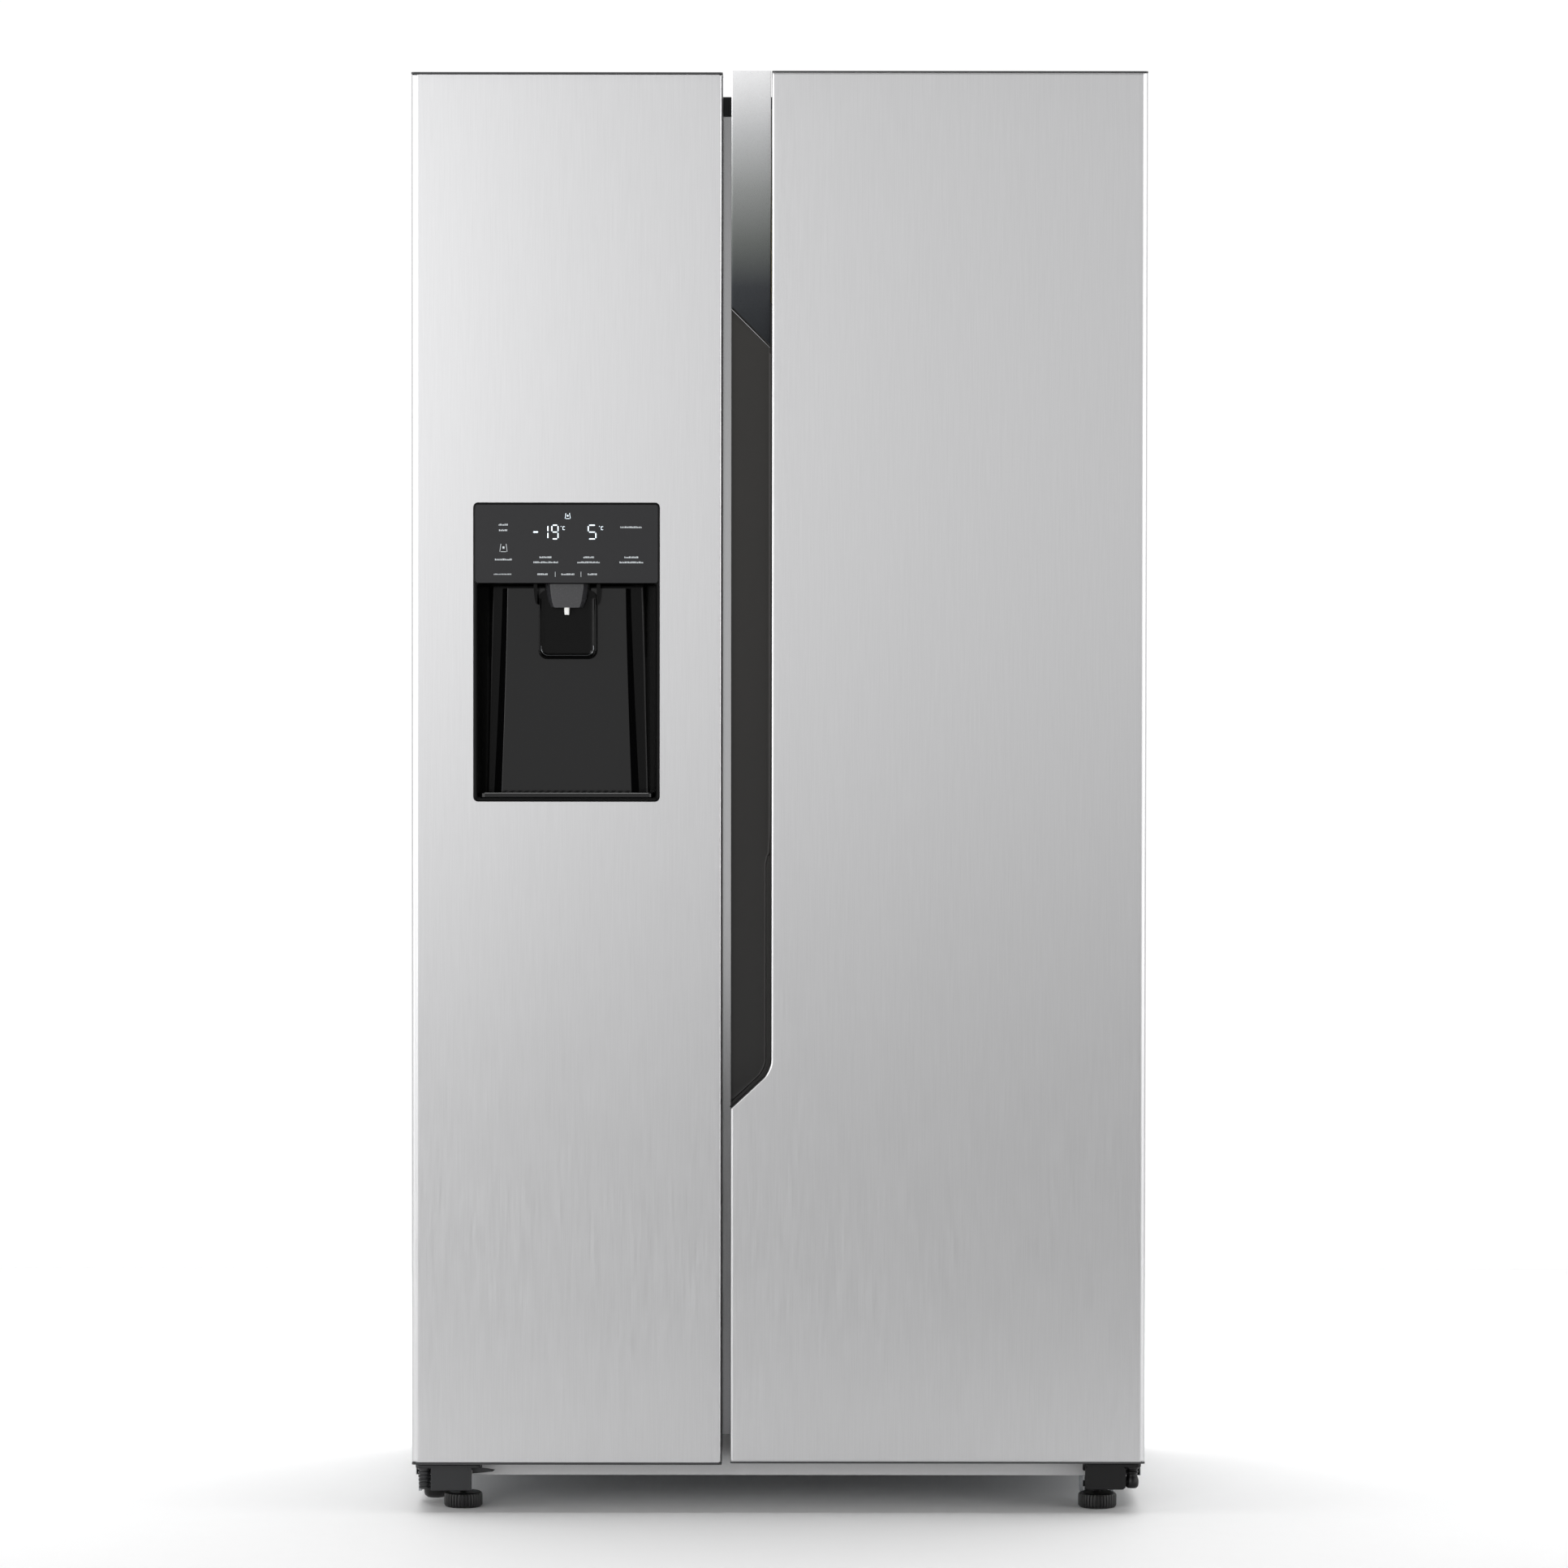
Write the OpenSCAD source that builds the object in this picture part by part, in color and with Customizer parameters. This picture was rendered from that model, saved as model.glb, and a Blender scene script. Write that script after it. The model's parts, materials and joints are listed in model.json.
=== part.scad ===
// Side-by-side refrigerator with ice and water dispenser, in millimetres.
// +Z is up and the doors face -Y. The origin is the centre of the footprint, at floor level.

/* [Overall] */
// Overall width across the doors
width = 910; // [700:5:1000]
// Overall height to the top of the refrigerator door
height = 1786; // [1600:1:1850]
// Overall depth from the door faces to the rear spacers
depth = 643; // [600:1:800]

/* [Doors] */
// Depth of a door from its face to its inner liner
door_thick = 58; // [45:1:80]
// Height of the doors' lower edge above the floor
door_bottom = 62; // [50:1:90]
// How much lower the freezer door hangs than the refrigerator door
door_drop = 2; // [0:0.5:4]
// Sheet thickness of the door skins
skin_thick = 1; // [0.5:0.1:1.5]
// Radius of the doors' vertical front edges
edge_radius = 4; // [2:0.5:8]
// Edge of the freezer door at the gap
gap_left = -70.3; // [-90:0.1:-60]
// Edge of the refrigerator door at the gap
gap_right = -59.7; // [-60:0.1:-40]
// Hinge pivot, in from the door's outer side
pivot_inset = 14; // [12:0.5:20]
// Hinge pivot, back from the door's face
pivot_back = 38; // [30:0.5:45]
// Radius of the hinge pins
pin_radius = 6; // [4:0.5:8]
// Running clearance of the hinge pins
pin_play = 0.05; // [0.01:0.01:0.1]
// Height of the raised rim that frames the door bins
rim_height = 20; // [15:1:30]

/* [Handle] */
// Right edge of the handle strip on the refrigerator door
handle_edge = -9.5; // [-20:0.5:5]
// Depth of the grip channel behind the door's face
handle_depth = 36; // [25:1:42]
// Height of the channel's lower tip at the gap
handle_tip = 503; // [400:1:700]
// Height where the channel's right edge starts to curve in
handle_low = 563.3; // [450:0.1:750]
// Height of the channel's upper end at the gap
handle_high = 1494.6; // [1200:0.1:1600]
// How far the upper end drops towards the handle's right edge
handle_drop = 47; // [20:1:80]
// Height where the inner finger lip begins
lip_top = 816; // [700:1:1000]

/* [Dispenser] */
// Left edge of the dispenser
disp_left = -378.5; // [-400:0.5:-350]
// Right edge of the dispenser
disp_right = -147.6; // [-200:0.1:-120]
// Lower edge of the dispenser
disp_low = 883.2; // [800:0.1:1000]
// Upper edge of the dispenser
disp_high = 1253.3; // [1150:0.1:1400]
// Lower edge of the control panel
panel_low = 1153.5; // [1100:0.5:1200]
// Depth of the recess behind the door's face
recess_depth = 63.5; // [40:0.5:70]
// Width of the paddle
paddle_width = 72; // [50:1:90]
// Lower edge of the paddle
paddle_low = 1059.5; // [1000:0.5:1100]

/* [Cabinet] */
// Height of the cabinet's top sheet
cabinet_top = 1736; // [1600:1:1780]
// Height of the cabinet's lower edge
cabinet_low = 38; // [30:1:60]
// Depth of the clear space between cabinet front and door face
cabinet_front = 70; // [60:1:90]
// Left face of the wall between the compartments
divider_left = -90; // [-120:1:-60]
// Right face of the wall between the compartments
divider_right = -40; // [-60:1:0]
// Side wall thickness with its insulation
wall_left = 54; // [40:1:70]
// Right side wall thickness with its insulation
wall_right = 50; // [40:1:70]
// Floor of the storage compartments
cavity_low = 110; // [90:1:140]
// Ceiling of the storage compartments
cavity_high = 1684; // [1600:1:1720]
// Height of the step over the machine compartment
step_high = 340; // [280:1:400]
// Liner wall thickness
liner = 2; // [1:0.5:3]

/* [Storage] */
// Height of each freezer shelf
freezer_shelf_z = [530, 760, 990, 1250];
// Height of each refrigerator shelf
fridge_shelf_z = [530, 790, 1050, 1330];
// Height of each freezer door bin
freezer_bin_z = [545, 710];
// Height of each refrigerator door bin
fridge_bin_z = [545, 800, 1060, 1380];
// Front-to-back position of the shelves' front edges
shelf_front = -130; // [-140:1:-100]
// Front of the drawers
drawer_front = -215; // [-225:1:-200]

/* [Running gear] */
// Radius of a levelling foot
foot_radius = 24; // [18:1:30]
// Height of a levelling foot's knurled pad
foot_high = 19; // [12:1:25]
// Radius of a front roller
front_roller_radius = 19; // [12:1:25]
// Height of the front rollers' lowest point
front_roller_low = 4; // [4:1:14]
// Radius of a rear roller
rear_roller_radius = 20; // [14:1:22]

/* [Node] */
// Which piece to draw

/* [Hidden] */
$fn = 48;
x_left = -width / 2;
x_right = width / 2;
y_front = -depth / 2;
y_rear = depth / 2;
y_back = y_front + door_thick;
y_cab = y_front + cabinet_front;
y_wrap = y_rear - 9.5;
pivot_x = x_right - pivot_inset;
pivot_y = y_front + pivot_back;
pivot_bore = pin_radius + pin_play;
fz_low = door_bottom - door_drop;
fz_high = height - door_drop;
fr_low = door_bottom;
fr_high = height;
cap_skirt = 2;
cap_body = 44;
freezer_x = [x_left + 1 + wall_left + 1, divider_left - liner];
fridge_x = [divider_right + liner, x_right - 1 - wall_right];
cavity_back = 245;
cavity_step = 60;
y_floor = y_front + handle_depth;
y_recess = y_front + recess_depth;
disp_x = (disp_left + disp_right) / 2;
paddle_y = y_front + 37.5;
paddle_z = panel_low + 12;
flap_y = -285;
flap_z = 1242;
auger_z = 1345;
tray_y = -200;
tray_z = 1575;
foot_y = -262;
foot_left_x = -394;
foot_right_x = 399;
roller_y = -216;
roller_z = front_roller_low + front_roller_radius;
fan_x = -70;
fan_y = 212;
fan_z = 150;
cool_fan_x = -245;
cool_fan_z = 1120;

// Box between two planes on each axis.
module block(x, y, z) {
  translate([x[0], y[0], z[0]]) cube([x[1] - x[0], y[1] - y[0], z[1] - z[0]]);
}

// Extrudes an outline drawn in X and Z along Y.
module front_prism(y) {
  translate([0, y[1], 0]) rotate([90, 0, 0]) linear_extrude(y[1] - y[0]) children();
}

// Extrudes an outline drawn in Y and Z along X.
module side_prism(x) {
  translate([x[0], 0, 0]) rotate([90, 0, 90]) linear_extrude(x[1] - x[0]) children();
}

// Cylinder along X, Y or Z between two planes.
module rod_x(x, y, z, r) {
  translate([x[0], y, z]) rotate([0, 90, 0]) cylinder(h = x[1] - x[0], r = r);
}
module rod_y(x, y, z, r) {
  translate([x, y[1], z]) rotate([90, 0, 0]) cylinder(h = y[1] - y[0], r = r);
}
module rod_z(x, y, z, r) {
  translate([x, y, z[0]]) cylinder(h = z[1] - z[0], r = r);
}

// Open-topped box with a wall and a floor thickness.
module open_box(x, y, z, wall, floor_t) {
  difference() {
    block(x, y, z);
    block([x[0] + wall, x[1] - wall], [y[0] + wall, y[1] - wall], [z[0] + floor_t, z[1] + 1]);
  }
}

// Rectangular ring seen from the front.
module front_ring(x, y, z, side, end) {
  difference() {
    block(x, y, z);
    block([x[0] + side, x[1] - side], [y[0] - 1, y[1] + 1], [z[0] + end, z[1] - end]);
  }
}

// Rectangle with rounded front corners, in plan.
module pan_plan(x, y, r) {
  translate([x[0], y[0] + r]) square([x[1] - x[0], y[1] - y[0] - r]);
  translate([x[0] + r, y[0]]) square([x[1] - x[0] - 2 * r, 2 * r]);
  translate([x[0] + r, y[0] + r]) circle(r = r);
  translate([x[1] - r, y[0] + r]) circle(r = r);
}

// Rectangle with four rounded corners.
module round_rect(x, z, r) {
  translate([x[0], z[0] + r]) square([x[1] - x[0], z[1] - z[0] - 2 * r]);
  translate([x[0] + r, z[0]]) square([x[1] - x[0] - 2 * r, z[1] - z[0]]);
  for (cx = [x[0] + r, x[1] - r])
    for (cz = [z[0] + r, z[1] - r])
      translate([cx, cz]) circle(r = r);
}

// Door skin: a sheet pan, open behind and at both ends.
module door_pan(x, z) {
  difference() {
    translate([0, 0, z[0]]) linear_extrude(z[1] - z[0]) pan_plan(x, [y_front, y_back], edge_radius);
    translate([0, 0, z[0] - 1]) linear_extrude(z[1] - z[0] + 2)
      pan_plan([x[0] + skin_thick, x[1] - skin_thick], [y_front + skin_thick, y_back + 5], edge_radius - skin_thick);
  }
}

// Pocket in a door's upper end that clears the hinge arm over its swing.
module hinge_pocket(side, top) {
  x = side * pivot_x;
  block([x - 17 + (side < 0 ? -2 : 0), x + 17 + (side > 0 ? 2 : 0)], [pivot_y - 25.5, y_back + 10], [top - 22, top + 5]);
}

// Upper end cap of a door, with the hinge pin's bore.
module top_cap(side, x, top) {
  inner = [x[0] + skin_thick + 0.1, x[1] - skin_thick - 0.1];
  difference() {
    union() {
      translate([0, 0, top - cap_skirt]) linear_extrude(cap_skirt) pan_plan(x, [y_front, y_back], edge_radius);
      block([inner[0] + 3, inner[1] - 3], [y_front + 1.2, y_back], [top - cap_body, top - cap_skirt]);
      block(inner, [y_front + 5, y_back], [top - cap_body, top - cap_skirt]);
    }
    hinge_pocket(side, top);
    hollow = side > 0 ? [inner[0] + 4, pivot_x - 20] : [20 - pivot_x, inner[1] - 4];
    block(hollow, [y_front + 5, y_back - 3], [top - cap_body - 1, top - 26]);
    rod_z(side * pivot_x, pivot_y, [top - cap_body - 1, top], pivot_bore);
  }
}

// Lower end cap of a door, with the lower pin's bore.
module bottom_cap(side, x, low) {
  inner = [x[0] + skin_thick + 0.1, x[1] - skin_thick - 0.1];
  difference() {
    union() {
      translate([0, 0, low]) linear_extrude(cap_skirt) pan_plan(x, [y_front, y_back], edge_radius);
      block([inner[0] + 3, inner[1] - 3], [y_front + 1.2, y_back], [low + cap_skirt, low + 22]);
      block(inner, [y_front + 5, y_back], [low + cap_skirt, low + 22]);
    }
    rod_z(side * pivot_x, pivot_y, [low - 1, low + 23], pivot_bore);
  }
}

// Moulded inner door panel: a flat sheet with a raised rim that frames the bins.
module inner_panel(x, z, rim_x, rim_z) {
  block(x, [y_back, y_back + liner], z);
  front_ring(rim_x, [y_back, y_back + liner + rim_height], rim_z, 12, 18);
}

// Upper hinge: a base on the cabinet, a riser, a forward arm and a pin that points down.
module upper_hinge(side, top) {
  x = pivot_x;
  z0 = top - 20;
  mirror([side > 0 ? 0 : 1, 0, 0]) {
    block([x - 45, x + 8], [-240, -150], [cabinet_top + 0.1, cabinet_top + 4]);
    block([x - 13, x + 8], [-196, -180], [cabinet_top + 3, z0 + 4]);
    block([x - 13, x + 8], [pivot_y + 40, -180], [z0, z0 + 4]);
    block([x - 13, x + 13], [pivot_y, pivot_y + 45], [z0, z0 + 4]);
    rod_z(x, pivot_y, [z0, z0 + 4], 13);
    rod_z(x, pivot_y, [z0 - 20, z0 + 1], pin_radius);
  }
}

// Lower hinge: flange on the rail, a plate with an upward pin, an apron and a foot boss.
module lower_hinge(side, foot, low) {
  x = pivot_x;
  m = side > 0 ? 0 : 1;
  fx = side * foot;
  difference() {
    union() {
      mirror([m, 0, 0]) {
        block([x - 70, x + 11], [y_cab - 3.1, y_cab - 0.1], [44, 80]);
        block([x - 70, x + 11], [pivot_y - 12, y_cab - 1], [low - 8, low - 4]);
        rod_z(x, pivot_y, [low - 8, low + 18], pin_radius);
        rod_z(x, pivot_y, [low - 4.5, low - 0.5], 8.5);
        block([x - 59, x - 8], [pivot_y - 12, pivot_y - 9], [low - 36, low - 7]);
        rod_z(x, pivot_y, [low - 16, low - 8], 8.5);
        rod_z(x, pivot_y, [low - 26, low - 16], 6.5);
        rod_z(x, pivot_y, [low - 34, low - 26], 8.5);
      }
      rod_z(foot, foot_y, [foot_high + 9, low - 7], 10);
    }
    rod_z(foot, foot_y, [foot_high, low], 5.06);
    for (sx = [fx - 25, fx + 25])
      rod_y(side * sx, [y_cab - 5, y_cab + 1], 72, 2.6);
  }
}

// Pan-head screw along Y; way is the direction its point faces.
module screw(x, y, z, way) {
  translate([x, y, z]) rotate([-90 * way, 0, 0]) {
    translate([0, 0, -3]) cylinder(h = 3, r = 4.5);
    cylinder(h = 9, r = 2.5);
  }
}

// Levelling foot: a knurled pad on a threaded stem.
module foot(x) {
  difference() {
    union() {
      translate([x, foot_y, 0]) rotate_extrude()
        polygon([[0, 0], [foot_radius - 2, 0], [foot_radius, 2], [foot_radius, foot_high - 3],
          [foot_radius - 3, foot_high], [0, foot_high]]);
      rod_z(x, foot_y, [foot_high - 1, 52], 5);
    }
    for (a = [0 : 30 : 330])
      translate([x, foot_y, 3]) rotate([0, 0, a]) translate([foot_radius + 1, 0, 0]) cylinder(h = foot_high, r = 2.4);
  }
}

// Front roller with a crowned tread, turning on its own axle.
module front_roller(x) {
  r = front_roller_radius;
  translate([x, roller_y, roller_z]) rotate([0, 90, 0]) translate([0, 0, -14]) rotate_extrude()
    polygon([[0, 0], [r - 5, 0], [r - 1.5, 5], [r, 10], [r, 18], [r - 1.5, 23], [r - 5, 28], [0, 28]]);
  rod_x([x - 20, x + 20], roller_y, roller_z, 4);
}

// Pair of roller ears with axle bores, under the base.
module roller_ears(x, y, z, high) {
  difference() {
    for (e = x)
      block([e - 2, e + 2], [y - 9, y + 9], [z - 9, high]);
    rod_x([min(x) - 5, max(x) + 5], y, z, 4.06);
  }
}

// Axial fan with flat pitched blades, turning on a fixed pin.
module fan(r, hub, bore, thick) {
  difference() {
    union() {
      cylinder(h = thick, r = hub);
      for (a = [0 : 72 : 288])
        rotate([0, 0, a]) translate([hub - 2, 0, thick / 2]) rotate([35, 0, 0])
          translate([0, -14, -1]) cube([r - hub, 28, 2]);
    }
    translate([0, 0, -1]) cylinder(h = thick + 2, r = bore);
  }
}

// Pull-out drawer: an open box with a tall front and a grip slot.
module drawer(x, y, z) {
  open_box(x, y, z, 3, 3);
  block([x[0], x[1]], [y[0] - 8, y[0] + 1], [z[0], z[1]]);
  block([x[0] + 60, x[1] - 60], [y[0] - 18, y[0] - 7], [z[1] - 26, z[1] - 22]);
}

// Shelf: a glass plate with a deeper front trim.
module shelf(x, y, z) {
  block(x, y, [z, z + 4]);
  block(x, [y[0], y[0] + 10], [z - 10, z + 6]);
}

// Door bin: an open box with a rounded-off front foot.
module bin(x, z) {
  difference() {
    side_prism(x)
      polygon([[y_back + liner + 0.5, z], [-158, z], [-143.5, z + 18], [-143.5, z + 95],
        [y_back + liner + 0.5, z + 110]]);
    side_prism([x[0] + 3, x[1] - 3])
      polygon([[y_back + liner + 3.5, z + 3], [-159.5, z + 3], [-146.5, z + 19], [-146.5, z + 130],
        [y_back + liner + 3.5, z + 130]]);
  }
}

// Compartment liner: a shell with a step over the machine compartment.
module cavity_liner(x) {
  difference() {
    side_prism([x[0] - liner, x[1] + liner])
      polygon([[y_cab + 1.2, cavity_low - liner], [cavity_step + liner, cavity_low - liner],
        [cavity_step + liner, step_high - liner], [cavity_back + liner, step_high - liner],
        [cavity_back + liner, cavity_high + liner], [y_cab + 1.2, cavity_high + liner]]);
    side_prism(x)
      polygon([[y_cab, cavity_low], [cavity_step, cavity_low], [cavity_step, step_high],
        [cavity_back, step_high], [cavity_back, cavity_high], [y_cab, cavity_high]]);
  }
}

// Ledges on both side walls under each shelf.
module ledges(x, levels, back) {
  for (z = levels)
    for (e = [[x[0] - 0.5, x[0] + 6], [x[1] - 6, x[1] + 0.5]])
      block(e, [shelf_front + 12, back], [z - 8, z]);
}

// Outline of the grip channel; grow widens it on the right and lower sides.
module channel_outline(grow) {
  e = handle_edge - 1 + grow;
  d = grow * 1.3;
  polygon([[-75, handle_tip - 14 - d], [gap_right, handle_tip - d], [e - 9, handle_low - 21.5 - d],
    [e - 5.5, handle_low - 17 - d], [e - 1.8, handle_low - 9], [e, handle_low],
    [e, handle_high - handle_drop + 1], [gap_right, handle_high], [-75, handle_high + 15]]);
}

// Front curve of the handle trim: flush at the top, easing back to the channel floor.
function trim_y(z) = y_front + 0.2 + (handle_depth - 3.7) * pow((height - z) / (height - 1440), 1.15);

module cabinet_wrapper() color([0.56, 0.57, 0.58]) {
  y = [y_cab, y_wrap];
  difference() {
    block([x_left + 1, x_right - 1], y, [cabinet_low, cabinet_top]);
    block([x_left + 2, x_right - 2], [y_cab + 1, y_wrap + 1], [cabinet_low - 1, cabinet_top - 1]);
    block([freezer_x[0], fridge_x[1]], [y_cab - 1, y_cab + 2], [cabinet_low - 1, cavity_high]);
    block([x_left + 2, x_right - 2], [y_cab - 1, y_cab + 2], [cabinet_low - 1, cavity_low]);
    block([divider_left, divider_right], [y_cab - 1, y_cab + 2], [cavity_high - 1, cabinet_top - 1]);
  }
}

module back_panel() color([0.5, 0.51, 0.52]) {
  block([x_left + 2.2, x_right - 2.2], [y_wrap - 1.2, y_wrap - 0.2], [292, cabinet_top - 1.2]);
}

module bottom_rail() color([0.74, 0.74, 0.75]) {
  difference() {
    union() {
      block([x_left + 2.2, x_right - 2.2], [y_cab, y_cab + 1], [cabinet_low, cavity_low - 0.2]);
      block([x_left + 2.2, x_right - 2.2], [y_cab, y_cab + 30], [cabinet_low, cabinet_low + 1]);
    }
    block([divider_left, divider_right], [y_cab - 1, y_cab + 2], [89, cavity_low + 1]);
    for (fx = [foot_left_x - 25, foot_left_x + 25, foot_right_x - 25, foot_right_x + 25])
      rod_y(fx, [y_cab - 1, y_cab + 2], 72, 2.6);
    for (rx = [-431, 400])
      block([rx - 22, rx + 22], [y_cab + 2, y_cab + 31], [cabinet_low - 1, cabinet_low + 2]);
  }
}

module centre_mullion() color([0.47, 0.47, 0.48]) {
  x = [divider_left + 0.2, divider_right - 0.2];
  block(x, [y_cab, y_cab + 1], [89.2, cabinet_top - 1.2]);
  block([x[0] + 10, x[1] - 10], [y_cab, y_cab + 14], [cavity_low, cavity_high]);
}

module base_tray() color([0.42, 0.43, 0.44]) {
  difference() {
    block([x_left + 2.2, x_right - 2.2], [y_cab + 32, y_wrap - 2], [42, 44]);
    for (rx = [-431, 400])
      block([rx - 17, rx + 17], [roller_y - 20, roller_y + 20], [40, 46]);
  }
  for (rx = [-431, 400])
    roller_ears([rx - 19, rx + 19], roller_y, roller_z, 43);
  for (s = [-1, 1])
    roller_ears([s * 400], 270, rear_roller_radius, 43);
  for (rx = [-431, 400])
    block([rx - 21, rx + 21], [roller_y + 19, roller_y + 23], [30, 43]);
}

module cabinet_insulation() color([0.93, 0.9, 0.78]) {
  g = 0.2;
  y0 = y_cab + 1.4;
  y1 = y_wrap - 1.4;
  for (x = [[x_left + 2 + g, freezer_x[0] - liner - g], [fridge_x[1] + liner + g, x_right - 2 - g]]) {
    block(x, [y0, y1], [step_high - liner, cabinet_top - 1 - g]);
    block(x, [y0, cavity_step + 50], [cavity_low - liner - 28, step_high - liner - g]);
  }
  wall = [divider_left + g, divider_right - g];
  block(wall, [y_cab + 15, cavity_step + liner], [cavity_low, cavity_high]);
  block(wall, [cavity_step + liner + g, cavity_back + liner], [step_high - liner, cavity_high]);
  in_x = [freezer_x[0] - liner, fridge_x[1] + liner];
  block(in_x, [y0, y1], [cavity_high + liner + g, cabinet_top - 1 - g]);
  block(in_x, [cavity_back + liner + g, y1], [step_high - liner, cavity_high + liner]);
  block(in_x, [cavity_step + liner + g, y1], [step_high - liner - 46, step_high - liner - g]);
  block(in_x, [cavity_step + liner + g, cavity_step + 50], [cavity_low - liner - 28, step_high - liner - 46 - g]);
  block(in_x, [y0, cavity_step + liner], [cavity_low - liner - 28, cavity_low - liner - g]);
}

module freezer_liner() color([0.95, 0.95, 0.95]) {
  cavity_liner(freezer_x);
  ledges(freezer_x, freezer_shelf_z, 180);
  block([freezer_x[0] - 0.5, freezer_x[0] + 21], [-205, 50], [212, 220]);
  block([freezer_x[0] - 0.5, freezer_x[0] + 21], [-205, 175], [428, 436]);
}

module fridge_liner() color([0.95, 0.95, 0.95]) {
  cavity_liner(fridge_x);
  ledges(fridge_x, fridge_shelf_z, 215);
  block([fridge_x[1] - 26, fridge_x[1] + 0.5], [-205, 50], [212, 220]);
  block([fridge_x[1] - 26, fridge_x[1] + 0.5], [-205, 175], [428, 436]);
}

module top_cover() color([0.2, 0.2, 0.21]) {
  z0 = cabinet_top + 0.1;
  difference() {
    union() {
      block([-385, 385], [y_cab + 0.2, -130], [z0, 1760]);
      for (x = [[-453, -384], [384, 453]])
        block(x, [y_cab + 0.2, -130], [z0, 1779]);
    }
    block([-383, 383], [y_cab + 3, -133], [z0 - 1, 1757.5]);
    for (x = [[-450.5, -386.5], [386.5, 450.5]])
      block(x, [y_cab + 3, -133], [z0 - 1, 1776.5]);
    for (x = [[-460, -424], [424, 460]])
      block(x, [y_cab - 1, -220], [1756, 1773]);
  }
}

module upper_hinge_left() color([0.35, 0.35, 0.36]) upper_hinge(-1, fz_high);

module upper_hinge_right() color([0.35, 0.35, 0.36]) upper_hinge(1, fr_high);

module lower_hinge_left() color([0.16, 0.16, 0.17]) lower_hinge(-1, foot_left_x, fz_low);

module lower_hinge_right() color([0.16, 0.16, 0.17]) lower_hinge(1, foot_right_x, fr_low);

module machine_cover() color([0.3, 0.31, 0.32]) {
  difference() {
    union() {
      block([x_left + 3, x_right - 3], [y_wrap - 1, y_wrap + 0.5], [46, 289]);
      for (x = [-300, 0, 300])
        block([x - 12, x + 12], [y_wrap, y_rear], [64, 80]);
    }
    for (x = [-410 : 20 : -70])
      block([x, x + 8], [y_wrap - 2, y_wrap + 2], [110, 240]);
    for (x = [150 : 20 : 390])
      block([x, x + 8], [y_wrap - 2, y_wrap + 2], [110, 240]);
    for (x = [-430, 0, 430])
      for (z = [56, 279])
        rod_y(x, [y_wrap - 2, y_wrap + 2], z, 2.6);
    rod_y(80, [y_wrap - 2, y_wrap + 2], 90, 9);
    rod_y(-26, [y_wrap - 2, y_wrap + 2], 92, 12.2);
  }
}

module compressor() color([0.1, 0.1, 0.11]) {
  translate([250, 205, 62]) rotate_extrude()
    polygon([[0, 0], [55, 0], [78, 14], [84, 30], [84, 88], [82, 90], [82, 98], [78, 112], [60, 140], [30, 152], [0, 156]]);
  block([155, 345], [150, 170], [52, 64]);
  block([155, 345], [240, 260], [52, 64]);
  for (x = [165, 335])
    for (y = [160, 250])
      rod_z(x, y, [44, 54], 11);
  rod_z(195, 150, [110, 250], 4);
  rod_z(305, 150, [110, 262], 4);
  block([322, 352], [180, 230], [90, 150]);
}

module condenser() color([0.14, 0.14, 0.15]) {
  for (x = [-400 : 18 : -130])
    block([x, x + 1.5], [135, 285], [60, 240]);
  for (z = [75 : 30 : 225])
    for (y = [155, 210, 265])
      rod_x([-405, -120], y, z, 4);
  difference() {
    block([-124, -118], [128, 296], [44, 262]);
    rod_x([-125, -117], fan_y, fan_z, 78);
  }
  block([-124, -118], [206, 218], [60, 240]);
  rod_x([-121, -90], fan_y, fan_z, 20);
  rod_x([-95, fan_x + 22], fan_y, fan_z, 3);
}

module evaporator() color([0.75, 0.76, 0.78]) {
  for (z = [390 : 16 : 710])
    block([-380, -110], [200, 240], [z, z + 1.5]);
  for (x = [-360, -315, -270, -225, -180, -135])
    for (y = [210, 230])
      rod_z(x, y, [380, 722], 4);
}

module freezer_duct_cover() color([0.92, 0.92, 0.93]) {
  difference() {
    block([freezer_x[0] + 0.3, freezer_x[1] - 0.3], [186, 190], [344, 1675]);
    for (i = [-4 : 4])
      if (abs(i) > 1)
        block([cool_fan_x + i * 10 - 3, cool_fan_x + i * 10 + 3], [185, 191],
          [cool_fan_z - sqrt(2500 - 100 * i * i), cool_fan_z + sqrt(2500 - 100 * i * i)]);
    for (i = [-1 : 1])
      for (e = [[-49, -18], [18, 49]])
        block([cool_fan_x + i * 10 - 3, cool_fan_x + i * 10 + 3], [185, 191], [cool_fan_z + e[0], cool_fan_z + e[1]]);
    for (z = [620, 860, 1380, 1520])
      block([-340, -150], [185, 191], [z, z + 14]);
    for (z = [360, 372, 384])
      block([-360, -130], [185, 191], [z, z + 6]);
  }
  rod_y(cool_fan_x, [189, 197], cool_fan_z, 10);
  rod_y(cool_fan_x, [196, 232], cool_fan_z, 3);
}

module fridge_duct_cover() color([0.92, 0.92, 0.93]) {
  difference() {
    block([60, 306], [222, cavity_back - 0.2], [560, 1660]);
    block([64, 302], [226, cavity_back + 1], [564, 1656]);
    for (z = [640, 900, 1180, 1440])
      for (x = [90, 220])
        block([x, x + 56], [220, 228], [z, z + 10]);
  }
}

module freezer_shelves() color([0.8, 0.88, 0.9, 0.5]) {
  for (z = freezer_shelf_z)
    shelf([freezer_x[0] + 0.8, freezer_x[1] - 0.8], [shelf_front, 180], z);
}

module fridge_shelves() color([0.8, 0.88, 0.9, 0.5]) {
  for (z = fridge_shelf_z)
    shelf([fridge_x[0] + 0.8, fridge_x[1] - 0.8], [shelf_front, 215], z);
}

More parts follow.
